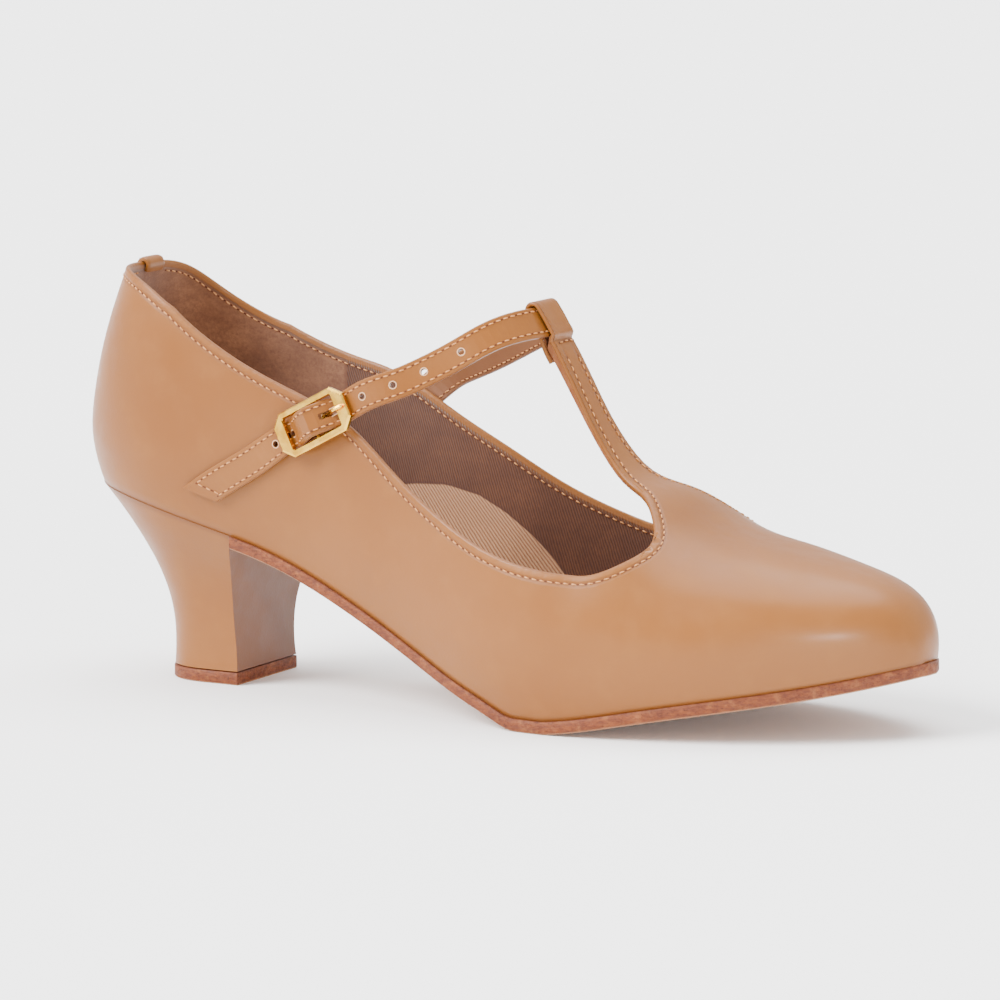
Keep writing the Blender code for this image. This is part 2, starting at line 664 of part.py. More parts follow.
def build_insole():
    """Sock and board, from the heel to the toe, clear of the wall."""
    clear = WALL + GAP + 0.2
    left, right = [], []
    for k in range(INSOLE_BACK):
        a = pi / 2 * (1 - k / INSOLE_BACK)
        for side, out in ((-1, left), (1, right)):
            x, y, _ = heel_point(a, GAP, side, clear)
            out.append((x, y))
    end = LENGTH - clear - 1.0
    for k in range(INSOLE_COLS + 1):
        t = k / INSOLE_COLS
        x = HEEL_END + (end - HEEL_END) * (0.4 * t + 0.6 * sin(pi / 2 * t))
        for side, out in ((-1, left), (1, right)):
            cap = toe_round(HEEL_END + (x - HEEL_END) * (LENGTH - HEEL_END) / (end - HEEL_END), TOE_ROUND)
            w = max(float(feather[side](x)) * float(cap) - clear, 0.4)
            out.append((x, float(centre(x)) + side * w))
    rings = []
    across = (0.0, 0.12, 0.5, 0.88, 1.0)
    for (xl, yl), (xr, yr) in list(zip(left, right))[1:]:
        ring = []
        for t in across:
            x, y = xl + (xr - xl) * t, yl + (yr - yl) * t
            ring.append((x, y, float(seat(x)) + INSOLE))
        for t in across[::-1]:
            x, y = xl + (xr - xl) * t, yl + (yr - yl) * t
            ring.append((x, y, float(seat(x))))
        rings.append(ring)
    return loft("insole", rings)


def build_back_tab():
    """Short strap folded over the collar at the back seam."""
    column = heel_column(pi / 2, -1)
    x_top, _, top = column[-1]
    x_low, _, low = column[-3]
    tx, _, tz = unit((x_top - x_low, 0.0, top - low))
    _, y_half, _ = heel_point(0.0, top - float(seat(x_top)), -1)

    def profile(gap):
        pts = [(-gap, s) for s in TAB_OUTER]
        r = WALL / 2 + gap
        for a in range(0, 181, 20):
            pts.append((WALL / 2 - r * cos(radians(a)), TAB_LIFT + r * sin(radians(a))))
        return pts + [(WALL + gap, s) for s in TAB_INNER]

    rings = []
    line = profile(TAB + GAP) + profile(GAP)[::-1]
    for k in range(7):
        y = -TAB_HALF + 2 * TAB_HALF * k / 6
        bow = (HEEL_END - x_top) * (1 - (1 - (abs(y) / abs(y_half)) ** HEEL_ROUND) ** (1 / HEEL_ROUND))
        rings.append([(x_top + bow + tz * c + tx * up, y, top + tz * up - tx * c) for c, up in line])
    return loft("back_tab", rings)


# Strap and buckle

BUCKLE_AT = on_quarter(BUCKLE_X * LENGTH, BUCKLE_Z * INSTEP, -1, 0.0)
BUCKLE_N = quarter_normal(BUCKLE_X * LENGTH, BUCKLE_Z * INSTEP, -1)
BUCKLE_S = np.array((cos(BUCKLE_SLOPE), 0.0, sin(BUCKLE_SLOPE)))
BUCKLE_S = unit(BUCKLE_S - BUCKLE_N * BUCKLE_S.dot(BUCKLE_N))
BUCKLE_W = np.cross(BUCKLE_S, BUCKLE_N)
REST = GAP + STRAP / 2
RISE = FRAME_LEVEL + BAR + BAR_GAP + FOLD + GAP + STRAP / 2 + 0.05


def at_buckle(s, w, level):
    """Point along the strap, across it and above the quarter, from the buckle."""
    return BUCKLE_AT + BUCKLE_S * s + BUCKLE_W * w + BUCKLE_N * level


def strap_level(s):
    """Middle of the strap above the quarter, rising over the centre bar."""
    t = min(1.0, abs(s) / (FRAME_IN_LONG / 2))
    return REST + (RISE - REST) * (1 + cos(pi * t)) / 2


def strap_line():
    """Middle of the strap: points, facings and widths from tail to anchor."""
    pts, facing, wide = [], [], []

    def add(p, n, w):
        pts.append(np.array(p, float))
        facing.append(unit(n))
        wide.append(w)

    for run, rise, w in TAIL:
        x, z = run * LENGTH, rise * INSTEP
        add(on_quarter(x, z, -1, REST), quarter_normal(x, z, -1), w)
    for share in THROUGH:
        s = share * FRAME_IN_LONG / 2
        add(at_buckle(s, 0.0, strap_level(s)), BUCKLE_N, THROUGH_WIDE)
    crossing = np.array((STEM_TOP - cos(SLOPE) * STRAP_RISE + sin(SLOPE) * LOOP_MIDDLE, 0.0,
                         float(ridge(STEM_TOP)) + sin(SLOPE) * STRAP_RISE + cos(SLOPE) * LOOP_MIDDLE))
    for dx, dy, dz, nx, ny, nz, w in FREE:
        add(crossing + (dx * LENGTH, dy * BALL_WIDTH, dz * INSTEP), (nx, ny, nz), w)
    for run, rise in ANCHOR:
        x, z = run * LENGTH, rise * INSTEP
        add(on_quarter(x, z, 1, REST + ANCHOR_LIFT), quarter_normal(x, z, 1), ANCHOR_WIDE)
    return np.array(pts), np.array(facing), np.array(wide)


def strap_frames(count):
    """Point, direction, facing, sideways direction and width along the strap."""
    pts, facing, wide = strap_line()
    run = np.r_[0, np.cumsum(np.linalg.norm(np.diff(pts, axis=0), axis=1))]
    fine = [spline(run, pts[:, k]) for k in range(3)]
    face = [spline(run, facing[:, k]) for k in range(3)]
    width = spline(run, wide)
    step = 0.05
    out = []
    for u in np.linspace(0, run[-1], count):
        p = np.array([float(f(u)) for f in fine])
        q = np.array([float(f(min(u + step, run[-1]))) for f in fine])
        r = np.array([float(f(max(u - step, 0.0))) for f in fine])
        t = unit(q - r)
        n = np.array([float(f(u)) for f in face])
        n = unit(n - t * n.dot(t))
        out.append((p, t, n, np.cross(t, n), float(width(u))))
    return out


def hole_cutters(frames):
    """Round cutters for the holes, and an oblong one where the prong passes."""
    mid = BUCKLE_AT + BUCKLE_N * RISE
    zero = int(np.argmin([np.linalg.norm(f[0] - mid) for f in frames]))
    run = [0.0]
    for a, b in zip(frames, frames[1:]):
        run.append(run[-1] + np.linalg.norm(b[0] - a[0]))
    places = []
    for s in HOLES_AT:
        p, t, n, w, _ = frames[int(np.argmin([abs(r - run[zero] - s) for r in run]))]
        places.append((p, t, n, w, 0.0))
    places.append((at_buckle(PRONG_HOLE, 0.0, strap_level(PRONG_HOLE)), BUCKLE_S, BUCKLE_N, BUCKLE_W,
                   PRONG_SLOT))
    cutters = []
    for p, t, n, w, long in places:
        rings = []
        for d in (-2 * STRAP, 2 * STRAP):
            ring = []
            for k in range(ROUND_SIDES):
                a = 2 * pi * (k + 0.5) / ROUND_SIDES
                ahead = HOLE * cos(a) + (long if cos(a) > 0 else -long)
                ring.append(p + t * ahead + w * HOLE * sin(a) + n * d)
            rings.append(ring)
        cutters.append(rings)
    return cutters


def build_strap():
    frames = strap_frames(STRAP_ROWS)
    rings = []
    h, c = STRAP / 2, STRAP_EDGE
    for i, (p, t, n, w, wide) in enumerate(frames):
        b = wide / 2
        slant = TAIL_SLANT * max(0.0, 1 - i / 5)
        ring = []
        for a, d in ((b - c, h), (b, h - c), (b, c - h), (b - c, -h),
                     (c - b, -h), (-b, c - h), (-b, h - c), (c - b, h)):
            ring.append(p + w * a + n * d + t * slant * a / b)
        rings.append(ring)
    ob = loft("strap", rings)
    boolean(ob, joined("strap_holes", hole_cutters(frames)), "DIFFERENCE")
    return ob


def eight_sided(long, wide, corner):
    lo, wo, c = long / 2, wide / 2, corner
    return ((lo, c - wo), (lo, wo - c), (lo - c, wo), (c - lo, wo),
            (-lo, wo - c), (-lo, c - wo), (c - lo, -wo), (lo - c, -wo))


def build_frame():
    """Flat eight-sided frame with a round bar across its middle."""
    outer = eight_sided(FRAME_LONG, FRAME_WIDE, FRAME_CORNER)
    face = eight_sided(FRAME_LONG - 2 * FRAME_BEVEL, FRAME_WIDE - 2 * FRAME_BEVEL, FRAME_CORNER)
    inner = eight_sided(FRAME_IN_LONG, FRAME_IN_WIDE, FRAME_IN_CORNER)
    edge = eight_sided(FRAME_IN_LONG + FRAME_BEVEL, FRAME_IN_WIDE + FRAME_BEVEL, FRAME_IN_CORNER)
    h = FRAME_THICK / 2
    rings = []
    for plan, level in ((outer, -h), (outer, h - FRAME_BEVEL), (face, h),
                        (edge, h), (inner, h - FRAME_BEVEL), (inner, -h)):
        rings.append([at_buckle(s, w, FRAME_LEVEL + level) for s, w in plan])
    rings.append(rings[0])
    ob = loft("buckle_frame", rings, (False, False), False)
    reach = FRAME_IN_WIDE / 2 + BAR_IN
    ends = []
    for w in (-reach, reach):
        turns = [2 * pi * k / ROUND_SIDES for k in range(ROUND_SIDES)]
        ends.append([at_buckle(BAR * cos(a), w, FRAME_LEVEL + BAR * sin(a)) for a in turns])
    boolean(ob, joined("centre_bar", [ends]), "UNION")
    return ob


def build_buckle_tab():
    """Tab folded round the centre bar, lying under the strap."""
    r = BAR + BAR_GAP

    def side_line(radius, low):
        pts = [(-0.7, FRAME_LEVEL + radius)]
        for a in range(90, -91, -20):
            pts.append((radius * cos(radians(a)), FRAME_LEVEL + radius * sin(radians(a))))
        return pts + [(-1.8, low + 0.6), (-3.4, low), (-4.8, low)]

    line = side_line(r + FOLD, GAP) + side_line(r, GAP + FOLD)[::-1]
    rings = []
    for w in (-TAB_WIDE / 2, -TAB_WIDE / 4, TAB_WIDE / 4, TAB_WIDE / 2):
        rings.append([at_buckle(s, w, level) for s, level in line])
    ob = loft("buckle_tab", rings)
    low, high = FRAME_LEVEL - r - FOLD - 0.15, FRAME_LEVEL + 2 * (r + FOLD)
    box = []
    for s in (-4.0, 4.0):
        corners = ((-SLOT / 2, low), (SLOT / 2, low), (SLOT / 2, high), (-SLOT / 2, high))
        box.append([at_buckle(s, w, level) for w, level in corners])
    boolean(ob, joined("tab_slot", [box]), "DIFFERENCE")
    return ob


def build_prong():
    """Prong curled round the bar, through the strap and onto the frame's end."""
    r = BAR + PRONG_GAP + PRONG
    line = []
    for a in range(-60, -291, -25):
        line.append((r * cos(radians(a)), FRAME_LEVEL + r * sin(radians(a))))
    pts = np.array(line + list(PRONG_LINE))
    run = np.r_[0, np.cumsum(np.hypot(*np.diff(pts, axis=0).T))]
    fs, fl = spline(run, pts[:, 0]), spline(run, pts[:, 1])
    step = 0.02
    rings = []
    for u in np.linspace(0, run[-1], PRONG_ROWS):
        d = unit((float(fs(u + step)) - float(fs(u - step)), float(fl(u + step)) - float(fl(u - step))))
        tip = PRONG * min(1.0, 0.35 + run[-1] - u)
        ring = []
        for k in range(8):
            a = 2 * pi * k / 8
            ring.append(at_buckle(float(fs(u)) - d[1] * tip * sin(a), 1.15 * tip * cos(a),
                                  float(fl(u)) + d[0] * tip * sin(a)))
        rings.append(ring)
    return loft("buckle_prong", rings)


for ob in list(bpy.data.objects):
    bpy.data.objects.remove(ob, do_unlink=True)
PARTS = bpy.data.collections.new("character_shoe")
CUTTERS = bpy.data.collections.new("cutters")
for group in (PARTS, CUTTERS):
    bpy.context.scene.collection.children.link(group)

TAN = (0.52, 0.30, 0.16)
SOLE_BROWN = (0.42, 0.22, 0.12)
SOCK = (0.45, 0.30, 0.20)
GOLD = (0.95, 0.78, 0.42)

paint(build_upper(), TAN, 0.45)
paint(build_outsole(), SOLE_BROWN, 0.6)
paint(build_heel(), TAN, 0.45)
paint(build_lift(), SOLE_BROWN, 0.6)
paint(build_insole(), SOCK, 0.8)
paint(build_back_tab(), TAN, 0.45)
paint(build_strap(), TAN, 0.45)
paint(build_frame(), GOLD, 0.25, 1.0)
paint(build_buckle_tab(), SOLE_BROWN, 0.5)
paint(build_prong(), GOLD, 0.25, 1.0)
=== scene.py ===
"""Looks of the T-strap character shoe, right foot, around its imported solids."""
from math import cos, pi, radians, sin

import bmesh
import bpy
import numpy as np
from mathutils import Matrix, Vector
from mathutils.bvhtree import BVHTree
from mathutils.kdtree import KDTree


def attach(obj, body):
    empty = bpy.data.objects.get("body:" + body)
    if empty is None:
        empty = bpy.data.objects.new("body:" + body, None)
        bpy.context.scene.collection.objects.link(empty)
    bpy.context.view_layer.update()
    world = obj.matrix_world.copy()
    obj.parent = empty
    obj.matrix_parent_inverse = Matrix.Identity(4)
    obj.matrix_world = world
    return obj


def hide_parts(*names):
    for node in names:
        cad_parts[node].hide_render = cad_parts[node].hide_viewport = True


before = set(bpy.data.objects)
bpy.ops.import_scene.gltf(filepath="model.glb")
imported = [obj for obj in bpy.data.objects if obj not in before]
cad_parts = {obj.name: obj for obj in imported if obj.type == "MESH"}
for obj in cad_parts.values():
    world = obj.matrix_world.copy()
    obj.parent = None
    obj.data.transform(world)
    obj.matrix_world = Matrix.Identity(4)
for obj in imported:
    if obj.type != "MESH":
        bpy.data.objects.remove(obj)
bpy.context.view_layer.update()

MM = 0.001
MM_IN_METRE = 1000.0
TURN_OVER = (-0.40, -0.25)     # where a strip's face counts as its back, then as its front


class Wire:
    """A shader socket of one material, with arithmetic on it."""

    def __init__(self, tree, socket=None):
        self.tree, self.socket = tree, socket

    def node(self, kind, settings, sockets, out=0):
        made = self.tree.nodes.new(kind)
        for key, value in settings.items():
            setattr(made, key, value)
        for key, value in sockets.items():
            if isinstance(value, Wire):
                self.tree.links.new(value.socket, made.inputs[key])
            else:
                made.inputs[key].default_value = value
        return Wire(self.tree, made.outputs[out])

    def maths(self, operation, *values):
        return self.node("ShaderNodeMath", {"operation": operation}, dict(enumerate(values)))

    def __add__(self, other):
        return self.maths("ADD", self, other)

    def __sub__(self, other):
        return self.maths("SUBTRACT", self, other)

    def __rsub__(self, other):
        return self.maths("SUBTRACT", other, self)

    def __mul__(self, other):
        return self.maths("MULTIPLY", self, other)

    __radd__, __rmul__ = __add__, __mul__

    def ramp(self, low, high, to_low=0.0, to_high=1.0):
        """This value brought smoothly from low..high to to_low..to_high."""
        return self.node("ShaderNodeMapRange", {"interpolation_type": "SMOOTHSTEP"},
                         {"Value": self, "From Min": low, "From Max": high,
                          "To Min": to_low, "To Max": to_high})

    def blend(self, factor, one, other):
        """Colour between two colours."""
        return self.node("ShaderNodeMix", {"data_type": "RGBA"}, {0: factor, 6: one, 7: other}, 2)

    def vector(self, operation, one, other, out=0):
        return self.node("ShaderNodeVectorMath", {"operation": operation}, {0: one, 1: other}, out)

    def geometry(self, out):
        """Position or Normal in the frame."""
        return self.node("ShaderNodeNewGeometry", {}, {}, out)

    def part(self, vector, axis):
        return self.node("ShaderNodeSeparateXYZ", {}, {0: vector}, axis)

    def place(self, scale=(1.0, 1.0, 1.0)):
        """Position on the shoe in mm, stretched along each axis."""
        here = self.node("ShaderNodeTexCoord", {}, {}, "Object")
        return self.vector("MULTIPLY", here, tuple(MM_IN_METRE * s for s in scale))

    def level(self, axis):
        """Position along one axis, in mm of the frame."""
        return self.part(self.geometry("Position"), axis) * MM_IN_METRE

    def facing(self, axis):
        """How far a face looks along one axis of the frame, -1 to 1."""
        return self.part(self.geometry("Normal"), axis)

    def outside(self, middle):
        """1 on faces that look away from a point in the foot, 0 on those towards it."""
        way = self.vector("SUBTRACT", self.geometry("Position"), middle)
        way = self.node("ShaderNodeVectorMath", {"operation": "NORMALIZE"}, {0: way})
        return self.vector("DOT_PRODUCT", way, self.geometry("Normal"), "Value").ramp(*TURN_OVER)

    def noise(self, size, detail=2.0, rough=0.5, at=None):
        """Noise whose lumps are about size mm across."""
        return self.node("ShaderNodeTexNoise", {},
                         {"Vector": at or self.place(), "Scale": 1.0 / size,
                          "Detail": detail, "Roughness": rough})

    def pebbles(self, size):
        """Rounded cells about size mm across."""
        return self.node("ShaderNodeTexVoronoi", {"feature": "SMOOTH_F1"},
                         {"Vector": self.place(), "Scale": 1.0 / size})

    def ribs(self, at, scale, wander, detail=1.0, way="DIAGONAL"):
        """Parallel ribs across the given place."""
        return self.node("ShaderNodeTexWave", {"wave_type": "BANDS", "bands_direction": way},
                         {"Vector": at, "Scale": scale, "Distortion": wander, "Detail": detail}, "Fac")

    def mark(self, name):
        """A number kept at the mesh's points."""
        return self.node("ShaderNodeAttribute", {"attribute_name": name}, {}, "Fac")

    def bump(self, height, depth, under=None):
        """Relief of depth mm where height runs from 0 to 1."""
        sockets = {"Height": height, "Distance": depth * MM, "Strength": 1.0}
        if under:
            sockets["Normal"] = under
        return self.node("ShaderNodeBump", {}, sockets)


def colour(red, green, blue):
    """Linear colour of an sRGB one given in 0..255."""
    out = []
    for v in (red, green, blue):
        v /= 255.0
        out.append(v / 12.92 if v <= 0.04045 else ((v + 0.055) / 1.055) ** 2.4)
    return (*out, 1.0)


class Finish:
    """A material and the shader it ends in."""

    def __init__(self, name, **fixed):
        self.material = bpy.data.materials.new(name)
        self.material.use_nodes = True
        tree = self.material.node_tree
        self.shader = tree.nodes["Principled BSDF"]
        self.wire = Wire(tree)
        for key, value in fixed.items():
            self.shader.inputs[key.replace("_", " ")].default_value = value

    def lay(self, shade, share):
        """Lays a shade over the tone, by a share that changes over the surface."""
        self.tone = self.wire.blend(share, self.tone, shade)

    def put(self, **varying):
        """Links the tone and what else changes over the surface; gives the material."""
        for key, value in {"Base_Color": self.tone, **varying}.items():
            self.wire.tree.links.new(value.socket, self.shader.inputs[key.replace("_", " ")])
        return self.material


# Driving dimensions
LENGTH = 234.0          # back of the last to the tip of the toe
BALL_WIDTH = 79.0       # widest part of the last
INSTEP = 100.0          # height from which the ridge and the collar are shared out
HEEL_HEIGHT = 50.0      # height from which the sole's underside is shared out
SOLE = 3.2              # outsole thickness
SOLE_EDGE = 0.6         # how far the sole stands out past the upper
WALL = 1.8              # leather and lining of the upper
LIFT = 3.2              # top lift thickness
STRAP = 1.5             # strap thickness
GAP = 0.3               # clearance between separate pieces
TREAD_X = 38.9          # centre of the heel tread, becomes x = 0
WIDEST_MOST = 20.0      # the widest line is at most this far above the seat

# Form of the last
HEEL_SPAN = 0.173       # share of LENGTH closed by the heel round
TOE_START = 0.80        # share of LENGTH where the toe round starts
TOE_ROUND = 2.15        # exponent of the toe's outline
TOE_HEIGHT_ROUND = 2.22  # exponent of the toe's height as it closes
HEEL_ROUND = 2.25       # exponent of the heel's outline
WIDEST = 0.34           # height of the widest line, share of the ridge's
CREST = 2.25            # exponent of the section above the widest line

# Sections: station as a share of LENGTH, then shares of BALL_WIDTH: half width
# at the feather line outer and inner, extra at the widest line outer and
# inner, sideways shift of the middle
SECTIONS = (
    (0.000, 0.345, 0.320, 0.045, 0.045, 0.000),
    (0.153, 0.350, 0.325, 0.045, 0.045, 0.000),
    (0.285, 0.342, 0.290, 0.045, 0.055, 0.000),
    (0.407, 0.348, 0.250, 0.050, 0.075, -0.005),
    (0.509, 0.400, 0.310, 0.052, 0.070, -0.010),
    (0.620, 0.470, 0.420, 0.048, 0.050, -0.005),
    (0.712, 0.478, 0.450, 0.040, 0.038, 0.010),
    (0.814, 0.430, 0.420, 0.028, 0.028, 0.035),
    (0.915, 0.352, 0.352, 0.022, 0.022, 0.065),
    (1.000, 0.290, 0.290, 0.018, 0.018, 0.090),
)

# Ridge of the last: share of LENGTH, height as a share of INSTEP
RIDGE = (
    (0.000, 1.340), (0.203, 1.320), (0.386, 1.240), (0.488, 1.130),
    (0.575, 0.925), (0.635, 0.700), (0.671, 0.600), (0.712, 0.560),
    (0.753, 0.502), (0.834, 0.445), (0.915, 0.438), (1.000, 0.491),
)

# Underside of the sole: share of LENGTH, height as a share of HEEL_HEIGHT.
# It rests flat on the floor between the two shares of BALL_FLAT.
BALL_FLAT = (0.612, 0.646)
UNDER = (
    (0.000, 0.930), (0.102, 0.885), (0.203, 0.775), (0.285, 0.672),
    (0.383, 0.475), (0.479, 0.255), (0.534, 0.135), (0.585, 0.040),
    (0.600, 0.012), (BALL_FLAT[0], 0.0), (BALL_FLAT[1], 0.0), (0.732, 0.068),
    (0.834, 0.155), (0.926, 0.230), (1.000, 0.305),
)

# Back line of the upper: height above the seat as a share of INSTEP, x as a
# share of LENGTH
BACK = (
    (-0.060, 0.0406), (0.000, 0.0299), (0.040, 0.0244), (0.130, 0.0184),
    (0.200, 0.0214), (0.360, 0.0368), (0.550, 0.0650),
)

# Collar: run as a share of LENGTH (0 at the back seam, HEEL_SPAN where the
# heel round ends), height of the outer and the inner collar as shares of INSTEP
COLLAR = (
    (0.000, 1.045, 1.045), (0.061, 1.050, 1.020), (0.112, 1.038, 0.945),
    (0.154, 0.998, 0.882), (0.181, 0.950, 0.852), (0.214, 0.898, 0.823),
    (0.262, 0.838, 0.792), (0.305, 0.796, 0.770), (0.351, 0.756, 0.726),
    (0.401, 0.698, 0.662), (0.455, 0.603, 0.592), (0.515, 0.513, 0.508),
    (0.573, 0.448, 0.444), (0.627, 0.412, 0.405), (0.674, 0.399, 0.395),
    (0.753, 0.399, 0.395),
)

# Stem of the T: share of LENGTH, half width as a share of BALL_WIDTH
STEM = (
    (0.5804, 0.0630), (0.635, 0.0700), (0.671, 0.0911), (0.712, 0.1456), (0.748, 0.1900),
)
APEX = 0.742            # share of LENGTH where the opening ends
APEX_Z = 0.466          # its height, share of INSTEP
APEX_RUN = 0.055        # length of the opening's round end, share of LENGTH

# Loop at the top of the stem, seen along the stem's slope
SLOPE = radians(58.0)   # rise of the stem where the strap crosses
LOOP_WALL = 1.1         # thickness of the loop's leather
LOOP_ROUND = 2.25       # outer radius of the fold
LOOP_MIDDLE = -0.5      # middle of the fold, forward of the stem's face
LOOP_RISE = 9.5         # stitched line to the middle of the fold
STRAP_RISE = 6.2        # stitched line to the middle of the strap
# Front of the loop: share of LOOP_RISE up the slope, share of LOOP_ROUND
# forward of the stem, share of the wall kept between WALL and LOOP_WALL,
# share kept of the stem's crown
LOOP_FRONT = (
    (0.050, 0.28, 0.50, 0.40), (0.110, 0.64, 0.10, 0.10), (0.170, 0.83, 0.0, 0.0),
    (0.35, 0.86, 0.0, 0.0), (0.60, 0.86, 0.0, 0.0), (0.82, 0.82, 0.0, 0.0),
)
# Back of the loop: share of LOOP_RISE, share of the way from the fold's back to
# its place behind the stem, share kept of the stem's crown
LOOP_BACK = (
    (0.80, 0.0, 0.0), (0.50, 0.0, 0.0), (0.26, 0.1, 0.1), (0.06, 0.65, 0.5),
    (-0.14, 1.0, 1.0), (-0.40, 1.0, 1.0),
)

# Heel: share of its height, then shares of LENGTH: back line and breast line,
# and half width as a share of BALL_WIDTH
HEEL = (
    (0.000, 0.1154, 0.2188, 0.2051), (0.070, 0.1154, 0.2179, 0.2013),
    (0.146, 0.1154, 0.2171, 0.2000), (0.275, 0.1141, 0.2162, 0.2051),
    (0.426, 0.1077, 0.2171, 0.2190), (0.576, 0.0953, 0.2205, 0.2430),
    (0.735, 0.0761, 0.2265, 0.2810), (0.895, 0.0513, 0.2342, 0.3266),
    (1.000, 0.0299, 0.2393, 0.3519),
)
HEEL_IN = 0.87          # inner half width of the tread, share of the outer
HEEL_SKEW = 1.2         # the breast's inner edge stands back by this at the tread
HEEL_FULL = 2.5         # exponent of the heel's outline at the tread
HEEL_BLEND = 1.5        # the sides start this much further forward at the tread
LIFT_EDGE = 0.25        # how far the top lift stands out past the heel

# Back tab
TAB = 1.0               # thickness
TAB_HALF = 3.8          # half width
TAB_OUTER = (-4.6, -2.9, -1.2)          # heights of its outer arm from the collar

# Buckle on the outer quarter
BUCKLE_X = 0.3594       # share of LENGTH
BUCKLE_Z = 0.708        # share of INSTEP
BUCKLE_SLOPE = radians(28.2)
FRAME_IN_LONG = 15.2    # length of the frame's window
FRAME_LEVEL = 3.05      # middle of the frame above the quarter
BAR = 0.6               # radius of the centre bar
BAR_GAP = 0.2           # clearance round the bar
FOLD = 0.8              # thickness of the buckle's tab

# Strap. Tail on the outer quarter: share of LENGTH, share of INSTEP, width
TAIL = (
    (0.2145, 0.506, 8.0), (0.2350, 0.536, 8.0), (0.2650, 0.576, 7.9), (0.2949, 0.620, 7.8),
)
TAIL_SLANT = 3.4        # the tail's end is cut at a slant
# Through the buckle: distances from its middle, share of the window's half length
THROUGH = (-1.25, -1.0, -0.75, -0.5, -0.25, 0.0, 0.25, 0.5, 0.75, 1.0, 1.42)
THROUGH_WIDE = 7.5
# Free part, measured from where it crosses the stem: shares of LENGTH,
# BALL_WIDTH and INSTEP, then the way it faces, and its width
FREE = (
    (-0.1500, -0.3930, -0.1770, 0.05, -1.00, 0.10, 7.6),
    (-0.1132, -0.3696, -0.1420, 0.28, -0.93, 0.20, 7.5),
    (-0.0880, -0.3316, -0.1130, 0.38, -0.86, 0.30, 7.5),
    (-0.0560, -0.2810, -0.0680, 0.44, -0.80, 0.38, 7.5),
    (-0.0291, -0.2278, -0.0260, 0.55, -0.70, 0.42, 7.6),
    (-0.0085, -0.1380, -0.0040, 0.78, -0.30, 0.52, 7.9),
    (0.0, -0.0660, 0.0, 0.848, 0.0, 0.53, 8.0),
    (0.0, 0.0, 0.0, 0.848, 0.0, 0.53, 8.0),
    (0.0, 0.0660, 0.0, 0.848, 0.0, 0.53, 8.0),
    (-0.0100, 0.1100, -0.0110, 0.75, 0.45, 0.48, 8.0),
    (-0.0440, 0.1640, -0.0460, 0.45, 0.80, 0.38, 8.1),
    (-0.1100, 0.2480, -0.1160, 0.36, 0.87, 0.34, 8.2),
    (-0.1560, 0.3060, -0.1590, 0.30, 0.92, 0.28, 8.3),
    (-0.1930, 0.3480, -0.1990, 0.10, 0.98, 0.18, 8.4),
)
# End on the inner quarter: share of LENGTH, share of INSTEP
ANCHOR = ((0.3440, 0.702), (0.3210, 0.655))
ANCHOR_LIFT = 0.3       # extra clearance over the inner quarter
ANCHOR_WIDE = 8.6
HOLE = 0.8              # radius of the strap's holes
# Holes along the strap from the middle of the buckle
HOLES_AT = (-13.9, -7.4, 16.6, 24.6, 32.7, 43.3)
PRONG_HOLE = 5.3        # middle of the prong's hole
PRONG_SLOT = 1.7        # half length added to it

# How finely each form is divided
SECTION_POINTS = 120    # points up half a section of the last
ROWS = 22               # rows from the feather line to the collar
TOP_ROWS = 14           # rows from the opening to the ridge
HEEL_COLS = 22          # columns round each side of the heel
SIDE_COLS = 48          # columns along each quarter
STEM_COLS = 26          # columns beside the stem, close at the round end
TOE_COLS = 40           # columns from the opening to the tip
LOOP_COLS = 60          # rows along the loop
HEEL_STEPS = 26         # steps round each side of the heel
STRAP_ROWS = 92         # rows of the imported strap, which place its holes


def spline(xs, ys):
    """Natural cubic through the points, straight beyond both ends."""
    xs, ys = np.array(xs, float), np.array(ys, float)
    n = len(xs)
    h = np.diff(xs)
    a = np.eye(n)
    r = np.zeros(n)
    for i in range(1, n - 1):
        a[i, i - 1], a[i, i], a[i, i + 1] = h[i - 1], 2 * (h[i - 1] + h[i]), h[i]
        r[i] = 6 * ((ys[i + 1] - ys[i]) / h[i] - (ys[i] - ys[i - 1]) / h[i - 1])
    m = np.linalg.solve(a, r)

    def at(x):
        x = np.clip(np.asarray(x, float), xs[0], xs[-1])
        i = np.clip(np.searchsorted(xs, x) - 1, 0, n - 2)
        p, q = x - xs[i], xs[i + 1] - x
        return (m[i] * q ** 3 + m[i + 1] * p ** 3) / (6 * h[i]) \
            + (ys[i] / h[i] - m[i] * h[i] / 6) * q + (ys[i + 1] / h[i] - m[i + 1] * h[i] / 6) * p
    return at


def columns(table):
    """The table's columns, one after the other."""
    return list(zip(*table))


def scaled(shares, size):
    """Spline of a section column, as a length at a place along the last."""
    f = spline(columns(SECTIONS)[0], shares)
    return lambda x: size * f(np.asarray(x) / LENGTH)


_, feather_out, feather_in, bulge_out, bulge_in, middle = columns(SECTIONS)
feather = {-1: scaled(feather_out, BALL_WIDTH), 1: scaled(feather_in, BALL_WIDTH)}
bulge = {-1: scaled(bulge_out, BALL_WIDTH), 1: scaled(bulge_in, BALL_WIDTH)}
centre = scaled(middle, BALL_WIDTH)
under_f = spline(*columns(UNDER))
ridge_f = spline(*columns(RIDGE))
back_f = spline(*columns(BACK))
collar_x, collar_out, collar_in = columns(COLLAR)
collar_f = {-1: spline(collar_x, collar_out), 1: spline(collar_x, collar_in)}
stem_f = spline(*columns(STEM))
heel_rise, heel_back, heel_breast, heel_wide = columns(HEEL)
heel_back, heel_breast, heel_wide = [spline(heel_rise, v) for v in (heel_back, heel_breast, heel_wide)]
STEM_TOP = STEM[0][0] * LENGTH
APEX_X = APEX * LENGTH
HEEL_END = HEEL_SPAN * LENGTH
BREAST_TOP = HEEL[-1][2] * LENGTH


